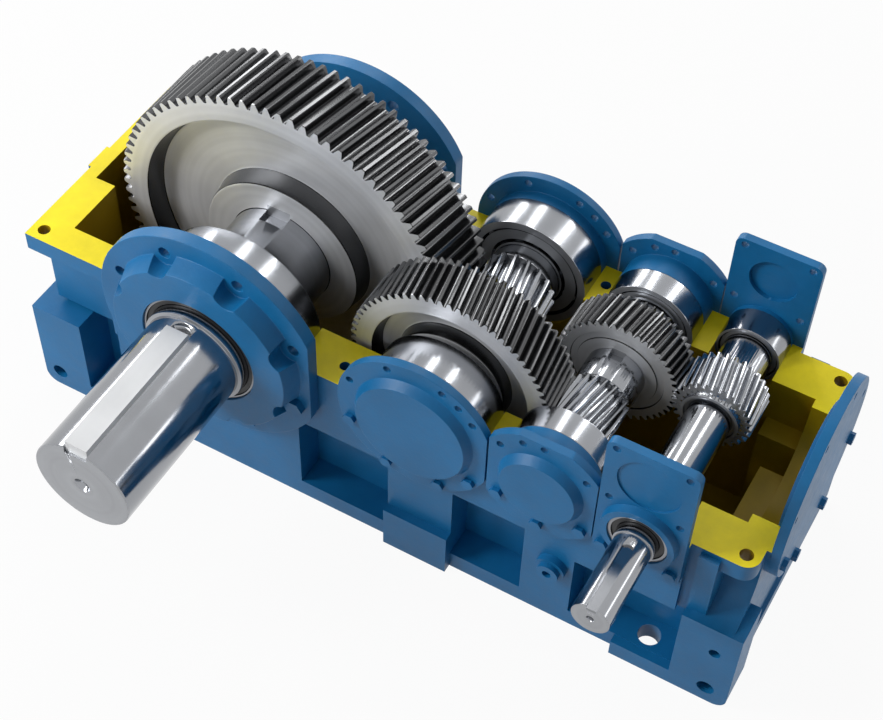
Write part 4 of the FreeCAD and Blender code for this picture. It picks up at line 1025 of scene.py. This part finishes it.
# every other CAD node keeps its own mesh and takes a finish
finishes = {
    "output_key": keySteel, "output_gear_key": shaftSteel["output"],
    "second_gear_key": shaftSteel["second"], "third_gear_key": shaftSteel["third"],
    "second_spacer_sleeve": shaftSteel["second"], "third_spacer_sleeve": shaftSteel["third"],
    "oil_drain_plug": coverPaint,
    "large_cover_bolts": coverPaint, "small_cover_bolts": coverPaint,
    "end_cover_bolts": coverPaint,
}
for node, material in finishes.items():
    nodes[node].data.materials.clear()
    nodes[node].data.materials.append(material)


# stage, light and camera
studio = {
    "floorZ": -0.002, "floorSize": 14.0, "floorColour": (0.55, 0.55, 0.55, 1),
    "floorRough": 0.9, "shade": 0.06,
    # world brightness by direction: straight up, level, and as it is seen
    "worldTop": 0.36, "worldSide": 0.12, "worldSeen": 1.0, "sideUpTo": 0.25, "topFrom": 0.9,
    # name: (place, aims at, width, height, watts)
    "lamps": {
        "keyLeft": ((-2.7, -2.1, 2.5), (0, 0, 0.3), 1.2, 2.4, 135),
        "frontLow": ((-0.8, -3.2, 1.2), (0, 0, 0.3), 1.2, 1.0, 16),
        "stripLeft": ((-2.5, 1.9, 1.7), (0, 0, 0.35), 2.8, 0.5, 44),
        "stripTop": ((-0.9, 2.1, 3.0), (0, 0, 0.35), 0.45, 2.2, 24),
        "stripRight": ((1.5, 2.2, 2.6), (0, 0, 0.35), 0.25, 2.4, 22),
        "stripEdge": ((2.7, 1.6, 1.0), (0, 0, 0.35), 2.6, 0.3, 9),
    },
}


def seenDirectly(tree):
    # 1 for what the camera, metal and glass see, 0 for light on the object
    path = tree.nodes.new("ShaderNodeLightPath")
    mirrored = mathNode(tree, "MAXIMUM", path.outputs["Is Glossy Ray"],
                        path.outputs["Is Transmission Ray"])
    return mathNode(tree, "MAXIMUM", path.outputs["Is Camera Ray"], mirrored)


def makeFloor():
    mesh = bpy.data.meshes.new("floor")
    half = studio["floorSize"] / 2
    z = studio["floorZ"]
    mesh.from_pydata([(-half, -half, z), (half, -half, z), (half, half, z), (-half, half, z)],
                     [], [(0, 1, 2, 3)])
    floor = bpy.data.objects.new("floor", mesh)
    scene.collection.objects.link(floor)
    material = bpy.data.materials.new("floorPale")
    material.use_nodes = True
    tree = material.node_tree
    shader = tree.nodes["Principled BSDF"]
    shader.inputs["Base Color"].default_value = studio["floorColour"]
    shader.inputs["Roughness"].default_value = studio["floorRough"]
    glow = tree.nodes.new("ShaderNodeEmission")
    glow.inputs["Color"].default_value = (1, 1, 1, 1)
    glow.inputs["Strength"].default_value = 1.0
    mix = tree.nodes.new("ShaderNodeMixShader")
    share = mathNode(tree, "MULTIPLY", seenDirectly(tree), 1 - studio["shade"])
    tree.links.new(share, mix.inputs[0])
    tree.links.new(shader.outputs[0], mix.inputs[1])
    tree.links.new(glow.outputs[0], mix.inputs[2])
    tree.links.new(mix.outputs[0], tree.nodes["Material Output"].inputs["Surface"])
    mesh.materials.append(material)


def makeWorld():
    world = bpy.data.worlds.new("studio")
    scene.world = world
    world.use_nodes = True
    tree = world.node_tree
    back = tree.nodes["Background"]
    back.inputs["Color"].default_value = (1, 1, 1, 1)
    place = tree.nodes.new("ShaderNodeTexCoord")
    split = tree.nodes.new("ShaderNodeSeparateXYZ")
    tree.links.new(place.outputs["Generated"], split.inputs[0])
    around = rangeNode(tree, split.outputs[2], studio["sideUpTo"], studio["topFrom"],
                       studio["worldSide"], studio["worldTop"])
    strength = rangeNode(tree, seenDirectly(tree), 0.0, 1.0, around, studio["worldSeen"])
    tree.links.new(strength, back.inputs["Strength"])


def makeLamps():
    for name, (place, target, width, height, watts) in studio["lamps"].items():
        data = bpy.data.lights.new(name, "AREA")
        data.shape = "RECTANGLE"
        data.size, data.size_y = width, height
        data.energy = watts
        lamp = bpy.data.objects.new(name, data)
        lamp.location = place
        lamp.rotation_euler = (Vector(target) - Vector(place)).to_track_quat("-Z", "Y").to_euler()
        scene.collection.objects.link(lamp)


shot = {"place": (0.90819, -1.67790, 2.54101), "turn": (39.2773, -1.3563, 29.4692),
        "lens": 72.3744, "sensor": 36, "near": 0.05, "far": 60}


def makeCamera():
    data = bpy.data.cameras.new("camera")
    data.lens = shot["lens"]
    data.sensor_width = shot["sensor"]
    data.clip_start, data.clip_end = shot["near"], shot["far"]
    camera = bpy.data.objects.new("camera", data)
    camera.location = shot["place"]
    camera.rotation_euler = Euler([math.radians(a) for a in shot["turn"]])
    scene.collection.objects.link(camera)
    scene.camera = camera


makeFloor()
makeWorld()
makeLamps()
makeCamera()
scene.view_settings.view_transform = "Standard"
print("stage ready")
